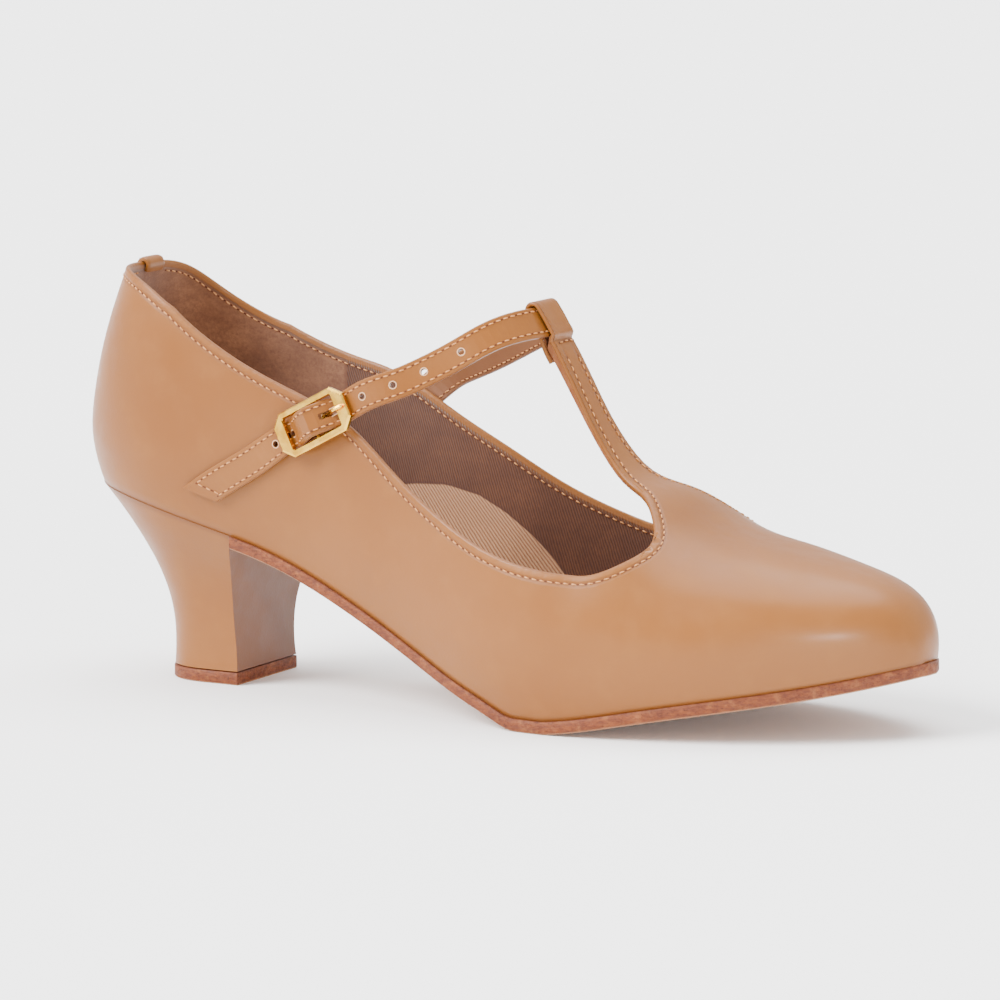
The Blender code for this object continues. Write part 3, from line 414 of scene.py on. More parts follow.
def run_along(points):
    """Distance from the first point to each point of a line."""
    return np.r_[0, np.cumsum(np.linalg.norm(np.diff(points, axis=0), axis=1))]


def unit(v):
    v = np.array(v, float)
    return v / np.linalg.norm(v)


def under(x):
    """Height of the sole's underside, flat on the floor under the ball."""
    return np.maximum(HEEL_HEIGHT * under_f(np.asarray(x) / LENGTH), 0.0)


def seat(x):
    """Height of the feather line, just above the sole."""
    return under(x) + SOLE + GAP


def toe_round(x, power):
    """Share of a width or height kept as the toe closes."""
    t = np.clip((np.asarray(x) / LENGTH - TOE_START) / (1 - TOE_START), 0.0, 1.0)
    return (1 - t ** power) ** (1 / power)


def ridge(x):
    """Height of the last's ridge, closing on the sole at the toe."""
    s = seat(x)
    return s + (INSTEP * ridge_f(np.asarray(x) / LENGTH) - s) * toe_round(x, TOE_HEIGHT_ROUND)


def widest(x):
    """Height of the last's widest line."""
    s = seat(x)
    return s + np.minimum(WIDEST * (ridge(x) - s), WIDEST_MOST)


def half(x, z, side):
    """Half width of the last at a station and height, before the heel round."""
    s, w, r = seat(x), widest(x), ridge(x)
    low = np.clip((w - z) / np.maximum(w - s, 1e-6), 0, 1)
    full = feather[side](x) + bulge[side](x) * (1 - low ** 2)
    up = np.clip((z - w) / np.maximum(r - w, 1e-6), 0, 1)
    return full * (1 - up ** CREST) ** (1 / CREST) * toe_round(x, TOE_ROUND)


def heel_point(angle, height, side):
    """Point of the heel round. Angle 0 is the start of the round, 90 the back."""
    s, c = sin(angle) ** (2 / HEEL_ROUND), cos(angle) ** (2 / HEEL_ROUND)
    x = HEEL_END
    for _ in range(3):
        z = seat(x) + height
        x = HEEL_END - (HEEL_END - LENGTH * float(back_f(height / INSTEP))) * s
    y = float(half(x, z, side)) * c * side
    return x, y, z


def section(x, side):
    """The last's section on one side, feather line to ridge, as points."""
    s, w, r = float(seat(x)), float(widest(x)), float(ridge(x))
    full = float(feather[side](x) + bulge[side](x)) * float(toe_round(x, TOE_ROUND))
    low = np.linspace(s, w, SECTION_POINTS // 3, endpoint=False)
    y_low = half(x, low, side)
    a = np.linspace(0, pi / 2, SECTION_POINTS)
    y_up = full * np.cos(a) ** (2 / CREST)
    z_up = w + (r - w) * np.sin(a) ** (2 / CREST)
    y, z = np.r_[y_low, y_up], np.r_[low, z_up]
    run = np.r_[0, np.cumsum(np.hypot(np.diff(y), np.diff(z)))]
    return y, z, run / max(run[-1], 1e-9)


def on_section(x, side, share):
    """Point at a share of the section's run."""
    y, z, run = section(x, side)
    return x, float(centre(x)) + side * float(np.interp(share, run, y)), float(np.interp(share, run, z))


def share_at_height(x, side, height):
    """Share of the section's run at this height."""
    y, z, run = section(x, side)
    return float(np.interp(height, z, run))


def share_at_width(x, side, width):
    """Share of the section, above its widest line, at this half width."""
    y, z, run = section(x, side)
    above = SECTION_POINTS // 3
    return float(np.interp(-width, -y[above:], run[above:]))


def opening(x, side):
    """Shares of the section where the opening starts and ends at a station."""
    apex = share_at_height(APEX_X, side, APEX_Z * INSTEP)
    t = min(1.0, (APEX_X - x) / (APEX_RUN * LENGTH))
    k = (1 - (1 - max(t, 0.0)) ** 2) ** 0.5
    low = share_at_height(x, side, INSTEP * float(collar_f[side](x / LENGTH)))
    high = share_at_width(x, side, BALL_WIDTH * float(stem_f(x / LENGTH)))
    return apex + (low - apex) * k, apex + (high - apex) * k


def quarter_normal(x, z, side):
    """The way the quarter faces at a place and height."""
    step = 0.5
    hx = (float(half(x + step, z, side)) - float(half(x - step, z, side))) / (2 * step)
    hz = (float(half(x, z + step, side)) - float(half(x, z - step, side))) / (2 * step)
    return unit((-hx, side, -hz))


def on_quarter(x, z, side, level):
    """Point at this level above the quarter."""
    p = np.array((x, float(centre(x)) + side * float(half(x, z, side)), z))
    return p + quarter_normal(x, z, side) * level


def stations():
    """Places of the columns: along the quarters, beside the stem, over the toe."""
    side = list(np.linspace(HEEL_END, STEM_TOP, SIDE_COLS + 1))
    stem = [STEM_TOP + (APEX_X - STEM_TOP) * sin(pi / 2 * k / STEM_COLS) for k in range(1, STEM_COLS + 1)]
    toe = [APEX_X + (LENGTH - APEX_X) * (0.35 * k / TOE_COLS + 0.65 * sin(pi / 2 * k / TOE_COLS))
           for k in range(1, TOE_COLS + 1)]
    toe[-1] = LENGTH
    return side, stem, toe


def heel_column(angle, side):
    """Points up the heel round, from the feather line to the collar."""
    run = HEEL_SPAN * (1 - angle / (pi / 2))
    x0, _, _ = heel_point(angle, 0.3 * INSTEP, side)
    top = INSTEP * float(collar_f[side](run)) - float(seat(x0))
    return [heel_point(angle, top * k / ROWS, side) for k in range(ROWS + 1)]


def loop_path():
    """Loop's outer face: x, z, share of the stem's crown, share of the full wall."""
    ux, uz = -cos(SLOPE), sin(SLOPE)
    nx, nz = sin(SLOPE), cos(SLOPE)
    x0, z0 = STEM_TOP, float(ridge(STEM_TOP))
    line = [(up * LOOP_RISE, forward * LOOP_ROUND, crown, wall)
            for up, forward, wall, crown in LOOP_FRONT]
    for a in range(0, 181, 30):
        line.append((LOOP_RISE + LOOP_ROUND * sin(radians(a)),
                     LOOP_MIDDLE + LOOP_ROUND * cos(radians(a)), 0.0, 0.0))
    back, behind = LOOP_MIDDLE - LOOP_ROUND, -(WALL + GAP + LOOP_WALL)
    for up, way, crown in LOOP_BACK:
        line.append((up * LOOP_RISE, back + (behind - back) * way, crown, 0.0))
    return [(x0 + ux * s + nx * n, z0 + uz * s + nz * n, crown, wall) for s, n, crown, wall in line]


def heel_ring(rise, level=None, grow=0.0):
    """D-shaped ring of the heel at a share of its height."""
    back = LENGTH * float(heel_back(rise)) - grow
    breast = LENGTH * float(heel_breast(rise))
    w = BALL_WIDTH * float(heel_wide(rise)) + grow
    power = HEEL_FULL + (HEEL_ROUND - HEEL_FULL) * rise
    start = HEEL_END + HEEL_BLEND * (1 - rise)
    lean = float(feather[-1](HEEL_END)) / (BALL_WIDTH * HEEL[-1][3])
    plan = []
    for side in (-1, 1):
        arc = []
        for k in range(HEEL_STEPS + 1):
            a = pi / 2 * (1 - k / HEEL_STEPS)
            arc.append((start - (start - back) * sin(a) ** (2 / power), w * cos(a) ** (2 / power)))
        for t in (0.35, 0.7, 1.0):
            arc.append((start + (breast - start) * t, w))
        half_ring = []
        inner = (side + 1) / 2
        for x, y in arc:
            x -= inner * HEEL_SKEW * (1 - rise ** 2) * y / w
            y *= 1 - inner * (1 - HEEL_IN) * (1 - rise ** 2)
            fit = lean * float(feather[side](x)) / float(feather[side](HEEL_END))
            half_ring.append((x, side * y * (1 + (fit - 1) * rise ** 2)))
        plan.append(half_ring)
    ring = []
    for x, y in plan[0][::-1] + plan[1][1:]:
        top = float(under(x)) + SOLE
        ring.append((x, y, LIFT + (top - LIFT) * rise if level is None else level))
    return ring


# The buckle's own directions: along the strap, out of the quarter, across
BUCKLE_AT = on_quarter(BUCKLE_X * LENGTH, BUCKLE_Z * INSTEP, -1, 0.0)
BUCKLE_N = quarter_normal(BUCKLE_X * LENGTH, BUCKLE_Z * INSTEP, -1)
BUCKLE_S = np.array((cos(BUCKLE_SLOPE), 0.0, sin(BUCKLE_SLOPE)))
BUCKLE_S = unit(BUCKLE_S - BUCKLE_N * BUCKLE_S.dot(BUCKLE_N))
BUCKLE_W = np.cross(BUCKLE_S, BUCKLE_N)
REST = GAP + STRAP / 2      # middle of the strap where it lies on the leather
# Middle of the strap over the bar
RISE = FRAME_LEVEL + BAR + BAR_GAP + FOLD + GAP + STRAP / 2 + 0.05


def at_buckle(s, w, level):
    """Point along the strap, across it and above the quarter, from the buckle."""
    return BUCKLE_AT + BUCKLE_S * s + BUCKLE_W * w + BUCKLE_N * level


def strap_level(s):
    """Middle of the strap above the quarter, rising over the centre bar."""
    t = min(1.0, abs(s) / (FRAME_IN_LONG / 2))
    return REST + (RISE - REST) * (1 + cos(pi * t)) / 2


def strap_line():
    """Middle of the strap: points, facings and widths from tail to anchor."""
    pts, facing, wide = [], [], []

    def add(p, n, w):
        pts.append(np.array(p, float))
        facing.append(unit(n))
        wide.append(w)

    for run, rise, w in TAIL:
        x, z = run * LENGTH, rise * INSTEP
        add(on_quarter(x, z, -1, REST), quarter_normal(x, z, -1), w)
    for share in THROUGH:
        s = share * FRAME_IN_LONG / 2
        add(at_buckle(s, 0.0, strap_level(s)), BUCKLE_N, THROUGH_WIDE)
    crossing = np.array((STEM_TOP - cos(SLOPE) * STRAP_RISE + sin(SLOPE) * LOOP_MIDDLE, 0.0,
                         float(ridge(STEM_TOP)) + sin(SLOPE) * STRAP_RISE + cos(SLOPE) * LOOP_MIDDLE))
    for dx, dy, dz, nx, ny, nz, w in FREE:
        add(crossing + (dx * LENGTH, dy * BALL_WIDTH, dz * INSTEP), (nx, ny, nz), w)
    for run, rise in ANCHOR:
        x, z = run * LENGTH, rise * INSTEP
        add(on_quarter(x, z, 1, REST + ANCHOR_LIFT), quarter_normal(x, z, 1), ANCHOR_WIDE)
    return np.array(pts), np.array(facing), np.array(wide)


def strap_frames(count):
    """Point, direction, facing, sideways direction and width along the strap."""
    pts, facing, wide = strap_line()
    run = run_along(pts)
    fine = [spline(run, pts[:, k]) for k in range(3)]
    face = [spline(run, facing[:, k]) for k in range(3)]
    width = spline(run, wide)
    step = 0.05

    def at(ways, u):
        return np.array([float(f(u)) for f in ways])

    out = []
    for u in np.linspace(0, run[-1], count):
        p = at(fine, u)
        t = unit(at(fine, min(u + step, run[-1])) - at(fine, max(u - step, 0.0)))
        n = at(face, u)
        n = unit(n - t * n.dot(t))
        out.append((p, t, n, np.cross(t, n), float(width(u))))
    return out


# Looks
EDGE_STITCH = 2.4       # from the collar's edge to its stitching
STRAP_STITCH = 1.15     # from the strap's edge to its stitching
SEAM_X = 58.0           # seam between the heel grip and the textile lining

TAN = colour(126, 76, 29)
TAN_DEEP = colour(118, 69, 23)
TAN_LIGHT = colour(136, 87, 39)
SHADE = colour(84, 42, 18)
STRAP_BACK = colour(118, 78, 54)
RIB_PALE = colour(178, 132, 96)
RIB_DEEP = colour(136, 92, 62)
CUT_DARK, CUT_BROWN = colour(82, 32, 5), colour(116, 56, 15)
CUT_SPECK, CUT_BLOT = colour(50, 20, 8), colour(150, 90, 44)
# the second colour is painted shade along the top of a cut sole edge
TREAD_PALE, SEAM_SHADE = colour(178, 130, 92), colour(62, 28, 16)
SOCK_DEEP, SOCK_PALE, SOCK_WORN = colour(150, 98, 62), colour(184, 134, 94), colour(156, 106, 70)
GOLD_DEEP, GOLD_PALE = colour(212, 158, 54), colour(234, 188, 82)
FOOT_MIDDLE = (0.090, 0.0, 0.050)       # a point in the foot, metres of the frame


def leather(name, turned=False, along_heel=False, lined=False):
    """Smooth tan leather: fine grain, faint tone patches, thin shine; painted shade in the stitch groove,
    along the turned and lower edges, and on the heel's top and breast.
    """
    f = Finish(name, Coat_Roughness=0.24, Specular_IOR_Level=0.22)
    w = f.wire
    patches = w.noise(55.0, 2.0)
    fine = w.noise(7.0, 3.0)
    f.tone = w.blend(patches.ramp(0.3, 0.7), TAN_DEEP, TAN)
    f.lay(TAN_LIGHT, fine.ramp(0.45, 0.8, 0.0, 0.25))
    pebble = w.pebbles(0.6)
    pores = w.noise(0.25, 2.0)
    under = w.bump(w.noise(14.0, 2.0), 0.22)
    if turned:
        edge = w.mark("edge")
        groove = edge.ramp(EDGE_STITCH - 0.85, EDGE_STITCH) - edge.ramp(EDGE_STITCH, EDGE_STITCH + 1.1)
        groove = groove * w.mark("sewn")
        pucker = w.noise(1.6, 1.0) * edge.ramp(0.4, 5.0, 1.0, 0.0)
        under = w.bump(1.0 - groove, 0.20, w.bump(pucker, 0.16, under))
        # painted shade: darker in the groove along the collar's stitching
        f.lay(SHADE, groove * 0.30)
        # painted shade: darker within 0.8 mm of the turned edge
        f.lay(SHADE, edge.ramp(0.0, 0.8, 0.40, 0.0))
        # painted shade: darker along the lower edge, where the upper meets the sole
        f.lay(SHADE, w.mark("up").ramp(0.0, 0.9, 0.35, 0.0))
    if along_heel:
        up = w.mark("up")
        # painted shade: darker at the top of the heel cover, where it meets the sole
        f.lay(SHADE, up.ramp(0.955, 0.998, 0.0, 0.5))
        # painted shade on the breast, the heel's forward face
        f.lay(SHADE, w.facing("X").ramp(0.45, 0.8, 0.0, 0.62))
    if lined:
        f.tone = w.blend(w.outside(FOOT_MIDDLE), STRAP_BACK, f.tone)
    return f.put(Roughness=fine.ramp(0.3, 0.7, 0.38, 0.48),
                 Coat_Weight=patches.ramp(0.3, 0.7, 0.08, 0.16),
                 Normal=w.bump(pebble * 0.7 + pores * 0.3, 0.022, under))


def cloth(name, one, other, pitch, rough, weave):
    """Lining: woven in a fine rib, or brushed where weave is small; leather turned in at the edge."""
    f = Finish(name, Specular_IOR_Level=0.15, Sheen_Weight=0.25, Sheen_Roughness=0.6)
    w = f.wire
    at = w.place((1.0 / pitch, 0.1 / pitch, 0.3 / pitch))
    rib = w.ribs(at, 0.32, 2.5, 2.0)
    nap = w.noise(0.8, 3.0, 0.7)
    brushed = w.noise(2.2, 4.0, 0.7, w.place((0.35, 0.5, 1.0)))
    cloud = w.noise(9.0, 3.0)
    mixed = rib * weave + (nap * 0.5 + brushed * 0.5) * (1.0 - weave)
    f.tone = w.blend(mixed.ramp(0.2, 0.85), one, other)
    f.lay(one, cloud.ramp(0.35, 0.7, 0.0, 0.5))
    from_seam = w.level("X") - (SEAM_X - TREAD_X)
    seam = from_seam.ramp(-1.0, -0.2) - from_seam.ramp(0.2, 0.6)
    f.lay(SHADE, seam * 0.6)
    ribs = w.ribs(w.place((0.78, 0.0, 0.63)), 0.84, 0.8)
    sock_edge = w.mark("sock")
    f.lay(w.blend(ribs.ramp(0.2, 0.8), RIB_DEEP, RIB_PALE), sock_edge.ramp(-0.3, 0.1))
    rim = sock_edge.ramp(-0.9, -0.2) - sock_edge.ramp(-0.1, 0.2)
    f.lay(one, rim * 0.7)
    edge = w.mark("edge")
    f.tone = w.blend(edge.ramp(EDGE_STITCH + 0.1, EDGE_STITCH + 0.5, 0.0, 1.0), TAN_DEEP, f.tone)
    step = edge.ramp(EDGE_STITCH - 0.3, EDGE_STITCH + 0.5)
    return f.put(Roughness=cloud.ramp(0.3, 0.7, rough - 0.05, rough + 0.05),
                 Normal=w.bump(mixed + ribs * sock_edge.ramp(-0.3, 0.1), 0.14, w.bump(1.0 - step, 0.5)))


def sole_edge(name):
    """Cut edge of sole leather: reddish brown, dark specks along the layers, pale below, painted shade along
    the top.
    """
    f = Finish(name, Specular_IOR_Level=0.35)
    w = f.wire
    layers = w.noise(1.3, 4.0, 0.75, w.place((0.55, 0.55, 1.5)))
    specks = w.noise(0.8, 4.0, 0.8, w.place((0.8, 0.8, 1.2)))
    blots = w.noise(3.5, 3.0, 0.7)
    up = w.mark("up")
    f.tone = w.blend(layers.ramp(0.32, 0.7), CUT_DARK, CUT_BROWN)
    f.lay(CUT_SPECK, specks.ramp(0.56, 0.66, 0.0, 0.75))
    f.lay(CUT_BLOT, blots.ramp(0.5, 0.72, 0.0, 0.4))
    f.lay(TREAD_PALE, up.ramp(0.02, 0.15, 0.6, 0.0))
    # painted shade along the top of the cut edge, where the piece above meets it
    f.lay(SEAM_SHADE, up.ramp(0.90, 1.0, 0.0, 0.35))
    return f.put(Roughness=specks.ramp(0.3, 0.7, 0.5, 0.72),
                 Normal=w.bump(layers * 0.5 + specks * 0.5, 0.30))


def ribbed_sock(name):
    """Sock: beige, with fine ribs across the shoe."""
    f = Finish(name, Specular_IOR_Level=0.2, Sheen_Weight=0.2)
    w = f.wire
    rib = w.ribs(w.place(), 0.30, 0.6, way="X")
    cloud = w.noise(16.0, 3.0)
    f.tone = w.blend(rib, SOCK_DEEP, SOCK_PALE)
    f.lay(SOCK_WORN, cloud.ramp(0.4, 0.7, 0.0, 0.3))
    return f.put(Roughness=cloud.ramp(0.3, 0.7, 0.7, 0.85), Normal=w.bump(rib, 0.14))


def gold(name):
    """Pale gold plate with faint handling marks."""
    f = Finish(name, Metallic=1.0)
    w = f.wire
    cloud = w.noise(3.0, 3.0)
    f.tone = w.blend(cloud.ramp(0.3, 0.7), GOLD_DEEP, GOLD_PALE)
    return f.put(Roughness=cloud.ramp(0.3, 0.7, 0.16, 0.26),
                 Normal=w.bump(w.noise(0.6, 2.0), 0.004))


def small(name, one, other, size, rough):
    """Finish of a small trim: two near tones in a noise."""
    f = Finish(name, Specular_IOR_Level=0.3)
    w = f.wire
    n = w.noise(size, 2.0)
    f.tone = w.blend(n.ramp(0.3, 0.7), one, other)
    return f.put(Roughness=n.ramp(0.3, 0.7, rough - 0.06, rough + 0.06), Normal=w.bump(n, 0.03))


tan_leather = leather("tan leather", turned=True)
strap_leather = leather("strap leather", lined=True)
loop_leather = leather("tab strip leather")
heel_leather = leather("heel leather", along_heel=True)
textile = cloth("brown lining", colour(62, 29, 12), colour(96, 55, 27), 0.36, 0.85, 0.4)
heel_grip = cloth("heel grip", colour(92, 52, 30), colour(140, 94, 62), 1.0, 0.92, 0.0)
stem_lining = small("stem lining", colour(128, 74, 42), colour(146, 90, 54), 2.0, 0.6)
sole_leather = sole_edge("sole leather")
sock = ribbed_sock("ribbed sock")
pale_gold = gold("pale gold")
thread_pale = small("pale thread", colour(172, 112, 62), colour(194, 136, 86), 0.5, 0.6)
# painted shade: the dark of the stitch holes
hole_shade = small("stitch holes", colour(70, 32, 12), colour(86, 42, 18), 0.5, 0.8)
raw_pale = small("raw edge", colour(186, 140, 104), colour(206, 166, 128), 0.4, 0.7)
tab_leather = small("tab leather", colour(92, 46, 20), colour(120, 66, 32), 1.2, 0.5)


# Meshes: millimetres of the last become metres of the frame

def piece(name, slot, verts, faces, looks, stands_for=None, kind=None, marks=None, sharp=None):
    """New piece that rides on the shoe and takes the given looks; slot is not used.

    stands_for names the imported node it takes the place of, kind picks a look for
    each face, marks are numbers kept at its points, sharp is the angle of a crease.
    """
    me = bpy.data.meshes.new(name)
    me.from_pydata([((x - TREAD_X) * MM, y * MM, z * MM) for x, y, z in verts], [], faces)
    for look in looks:
        me.materials.append(look)
    if kind is not None:
        me.polygons.foreach_set("material_index", kind)
    for key, values in (marks or {}).items():
        me.attributes.new(key, "FLOAT", "POINT").data.foreach_set("value", [float(v) for v in values])
    me.polygons.foreach_set("use_smooth", [True] * len(me.polygons))
    if sharp:
        bm = bmesh.new()
        bm.from_mesh(me)
        for e in bm.edges:
            e.smooth = len(e.link_faces) != 2 or e.calc_face_angle(0.0) < radians(sharp)
        bm.to_mesh(me)
        bm.free()
    me.update()
    ob = bpy.data.objects.new(name, me)
    bpy.context.scene.collection.objects.link(ob)
    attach(ob, "root")
    if stands_for:
        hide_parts(stands_for)


def outward(verts, faces):
    """Faces of a closed loft turned so that their normals point out of it."""
    v = np.array(verts, float)
    volume = 0.0
    for f in faces:
        for k in range(1, len(f) - 1):
            volume += float(np.dot(v[f[0]], np.cross(v[f[k]], v[f[k + 1]])))
    return [tuple(f[::-1]) for f in faces] if volume < 0 else faces


def tube(rings):
    """Points and faces of a closed solid through rings of equal count."""
    n = len(rings[0])
    verts = [tuple(p) for r in rings for p in r]
    faces = [(i * n + k, i * n + (k + 1) % n, (i + 1) * n + (k + 1) % n, (i + 1) * n + k)
             for i in range(len(rings) - 1) for k in range(n)]
    faces.append(tuple(range(n))[::-1])
    faces.append(tuple((len(rings) - 1) * n + k for k in range(n)))
    return verts, faces


def loft(rings):
    """The same with its faces turned outward."""
    verts, faces = tube(rings)
    return verts, outward(verts, faces)


def merged(solids):
    """Points and faces of several solids as one list each."""
    verts, faces = [], []
    for v, f in solids:
        faces += [tuple(i + len(verts) for i in q) for q in f]
        verts += [tuple(p) for p in v]
    return verts, faces


def turns(count):
    """Even angles round a circle."""
    return [2 * pi * k / count for k in range(count)]


# Upper: one leather shell with a rounded, turned edge and a lining

ROUND_STEPS = 6         # steps round the turned edge
EDGE_WALL = 1.25        # the leather is pared to this at the collar
TOE_SHARE, TOE_SOON = 0.45, 1.4         # where the side rows end over the toe, and how soon
NO_SOCK = -9.0          # mark of the wall that the sock doesn't reach
TUCK = 0.3              # the lower edge goes this far into the sole's seam
SWELL = 0.9             # the stem's face stands out by this where the loop starts
SWELL_RUN = 13.0        # length over which it comes back
# Upper edge of the sock on the inner wall: place along the frame, height, mm
SOCK_EDGE = (
    (-5.0, 38.0), (15.0, 42.0), (30.0, 46.5), (40.1, 48.2), (50.1, 48.7), (59.4, 46.7), (66.5, 42.9),
    (73.2, 37.7), (78.2, 32.7), (80.8, 29.5), (88.0, 18.0), (100.0, -5.0),
)


def swell(x):
    """How far the stem's face stands out, and which way."""
    t = min(1.0, max(0.0, (x - STEM_TOP) / SWELL_RUN))
    return SWELL * (1 - t * t * (3 - 2 * t)), np.array((sin(SLOPE), 0.0, cos(SLOPE)))


def add_loop(verts, faces, wall, part, across):
    """Adds the stem's loop, a strip from the row across its top, over the fold and down behind."""
    width = [verts[i][1] for i in across]
    more, way = swell(STEM_TOP)
    start = np.array((STEM_TOP, 0.0, float(ridge(STEM_TOP)))) + way * more
    drop = [verts[i][2] - start[2] for i in across]
    path = np.array([(start[0], start[2], 1.0, (WALL + more - LOOP_WALL) / (WALL - LOOP_WALL))]
                    + loop_path())
    run = np.r_[0, np.cumsum(np.hypot(np.diff(path[:, 0]), np.diff(path[:, 1])))]
    ways = [spline(run, path[:, k]) for k in (0, 1)]
    prev = across
    for u in np.linspace(0, run[-1], LOOP_COLS + 1)[1:]:
        keep, thick = np.interp(u, run, path[:, 2]), np.interp(u, run, path[:, 3])
        row = []
        for y, dz in zip(width, drop):
            row.append(len(verts))
            verts.append((float(ways[0](u)), y, float(ways[1](u)) + dz * keep))
            wall.append(LOOP_WALL + (WALL - LOOP_WALL) * thick)
        for j in range(len(row) - 1):
            faces.append((prev[j + 1], row[j + 1], row[j], prev[j]))
            part.append(2)
        prev = row


def upper_grid():
    """Outer face of the upper.

    Gives its points, its quads, the wall at each point, the part of each quad (0
    quarter or vamp, 1 stem, 2 loop) and the points of the loop.
    """
    verts, faces, index, wall, part = [], [], {}, [], []

    def vert(key, p, thick=WALL):
        if key not in index:
            index[key] = len(verts)
            verts.append(p)
            wall.append(thick)
        return index[key]

    def quad(a, b, c, d, side, kind):
        ids = []
        for i in (a, b, c, d):
            if i not in ids:
                ids.append(i)
        if len(ids) > 2:
            faces.append(tuple(ids[::-1]) if side > 0 else tuple(ids))
            part.append(kind)

    side_x, stem_x, toe_x = stations()
    xs = side_x + stem_x + toe_x
    first_top = len(side_x) - 1
    crown = {}
    for side in (-1, 1):
        cols = []
        for k in range(HEEL_COLS):
            pts = heel_column(pi / 2 * (1 - k / HEEL_COLS), side)
            cols.append([vert(("back", j) if k == 0 else (side, k, j), p) for j, p in enumerate(pts)])
        for i, x in enumerate(xs):
            k = HEEL_COLS + i
            if x == xs[-1]:
                tip = vert("tip", (LENGTH, float(centre(LENGTH)), float(seat(LENGTH))))
                cols.append([tip] * (ROWS + 1))
                crown[(side, i)] = [tip] * (TOP_ROWS + 1)
                continue
            if i == 0:
                pts = heel_column(0.0, side)
                cols.append([vert((side, k, j), p) for j, p in enumerate(pts)])
                continue
            if x <= APEX_X:
                low, high = opening(x, side)
            else:
                base = share_at_height(APEX_X, side, APEX_Z * INSTEP)
                t = (x - APEX_X) / (LENGTH - APEX_X)
                low = high = base + (TOE_SHARE - base) * min(1.0, TOE_SOON * t)
            cols.append([vert((side, k, j), on_section(x, side, low * j / ROWS)) for j in range(ROWS + 1)])
            if i < first_top:
                continue
            row = []
            more, way = swell(x)
            for j in range(TOP_ROWS + 1):
                if j == 0 and x >= APEX_X - 1e-6:
                    row.append(cols[-1][-1])
                elif j == TOP_ROWS:
                    top = np.array((x, float(centre(x)), float(ridge(x)))) + way * more
                    row.append(vert(("ridge", i), tuple(top), WALL + more))
                else:
                    share = high + (1 - high) * j / TOP_ROWS
                    p = np.array(on_section(x, side, share)) + way * more
                    row.append(vert((side, "top", i, j), tuple(p), WALL + more))
            crown[(side, i)] = row
        for a, b in zip(cols, cols[1:]):
            for j in range(ROWS):
                quad(a[j], a[j + 1], b[j + 1], b[j], side, 0)
        for i in range(first_top, len(xs) - 1):
            a, b = crown[(side, i)], crown[(side, i + 1)]
            for j in range(TOP_ROWS):
                quad(a[j], a[j + 1], b[j + 1], b[j], side, 1 if xs[i + 1] < APEX_X else 0)

    across = crown[(-1, first_top)][:-1] + crown[(1, first_top)][::-1]
    add_loop(verts, faces, wall, part, across)
    on_loop = {i for f, k in zip(faces, part) if k == 2 for i in f}
    return np.array(verts, float), faces, np.array(wall), part, on_loop


def one_way(verts, faces):
    """The same faces, all turned the same way."""
    bm = bmesh.new()
    points = [bm.verts.new(v) for v in verts]
    for f in faces:
        bm.faces.new([points[i] for i in f])
    bm.verts.index_update()
    bmesh.ops.recalc_face_normals(bm, faces=bm.faces)
    turned = [tuple(v.index for v in f.verts) for f in bm.faces]
    bm.free()
    return turned


def normals_of(verts, faces):
    """The way each point of the mesh faces."""
    out = np.zeros_like(verts)
    for f in faces:
        p = verts[list(f)]
        n = np.zeros(3)
        for k in range(len(f)):
            n += np.cross(p[k], p[(k + 1) % len(f)])
        for k in f:
            out[k] += n
    return out / np.maximum(np.linalg.norm(out, axis=1), 1e-12)[:, None]


def edge_loops(faces):
    """Loops of points along the open edges, each walked the way its faces turn."""
    seen = {}
    for f in faces:
        for a, b in zip(f, f[1:] + f[:1]):
            seen[(a, b)] = True
    follow = {a: b for a, b in seen if (b, a) not in seen}
    loops = []
    while follow:
        start, here = next(iter(follow.items()))
        loop = [start]
        del follow[start]
        while here != start:
            loop.append(here)
            here = follow.pop(here)
        loops.append(loop)
    return loops


def edge_ways(verts, n, loops):
    """The way out of the leather, along its face, at each point of the open edges."""
    out = {}
    for loop in loops:
        for a, here, b in zip(loop[-1:] + loop[:-1], loop, loop[1:] + loop[:1]):
            away = np.cross(verts[b] - verts[a], n[here])
            size = np.linalg.norm(away)
            out[here] = away / size if size > 1e-9 else np.array((0.0, 0.0, -1.0))
    return out


def distance_to(places, points):
    """Distance from each point to the nearest of the places."""
    tree = KDTree(len(places))
    for k, place in enumerate(places):
        tree.insert(Vector(place), k)
    tree.balance()
    return [tree.find(Vector(p))[2] for p in points]


def above_sock(p):
    """How far a point of the inner wall is below the sock's edge."""
    if p[1] <= float(centre(min(p[0], LENGTH))):
        return NO_SOCK
    return np.interp(p[0] - TREAD_X, *columns(SOCK_EDGE)) - p[2]


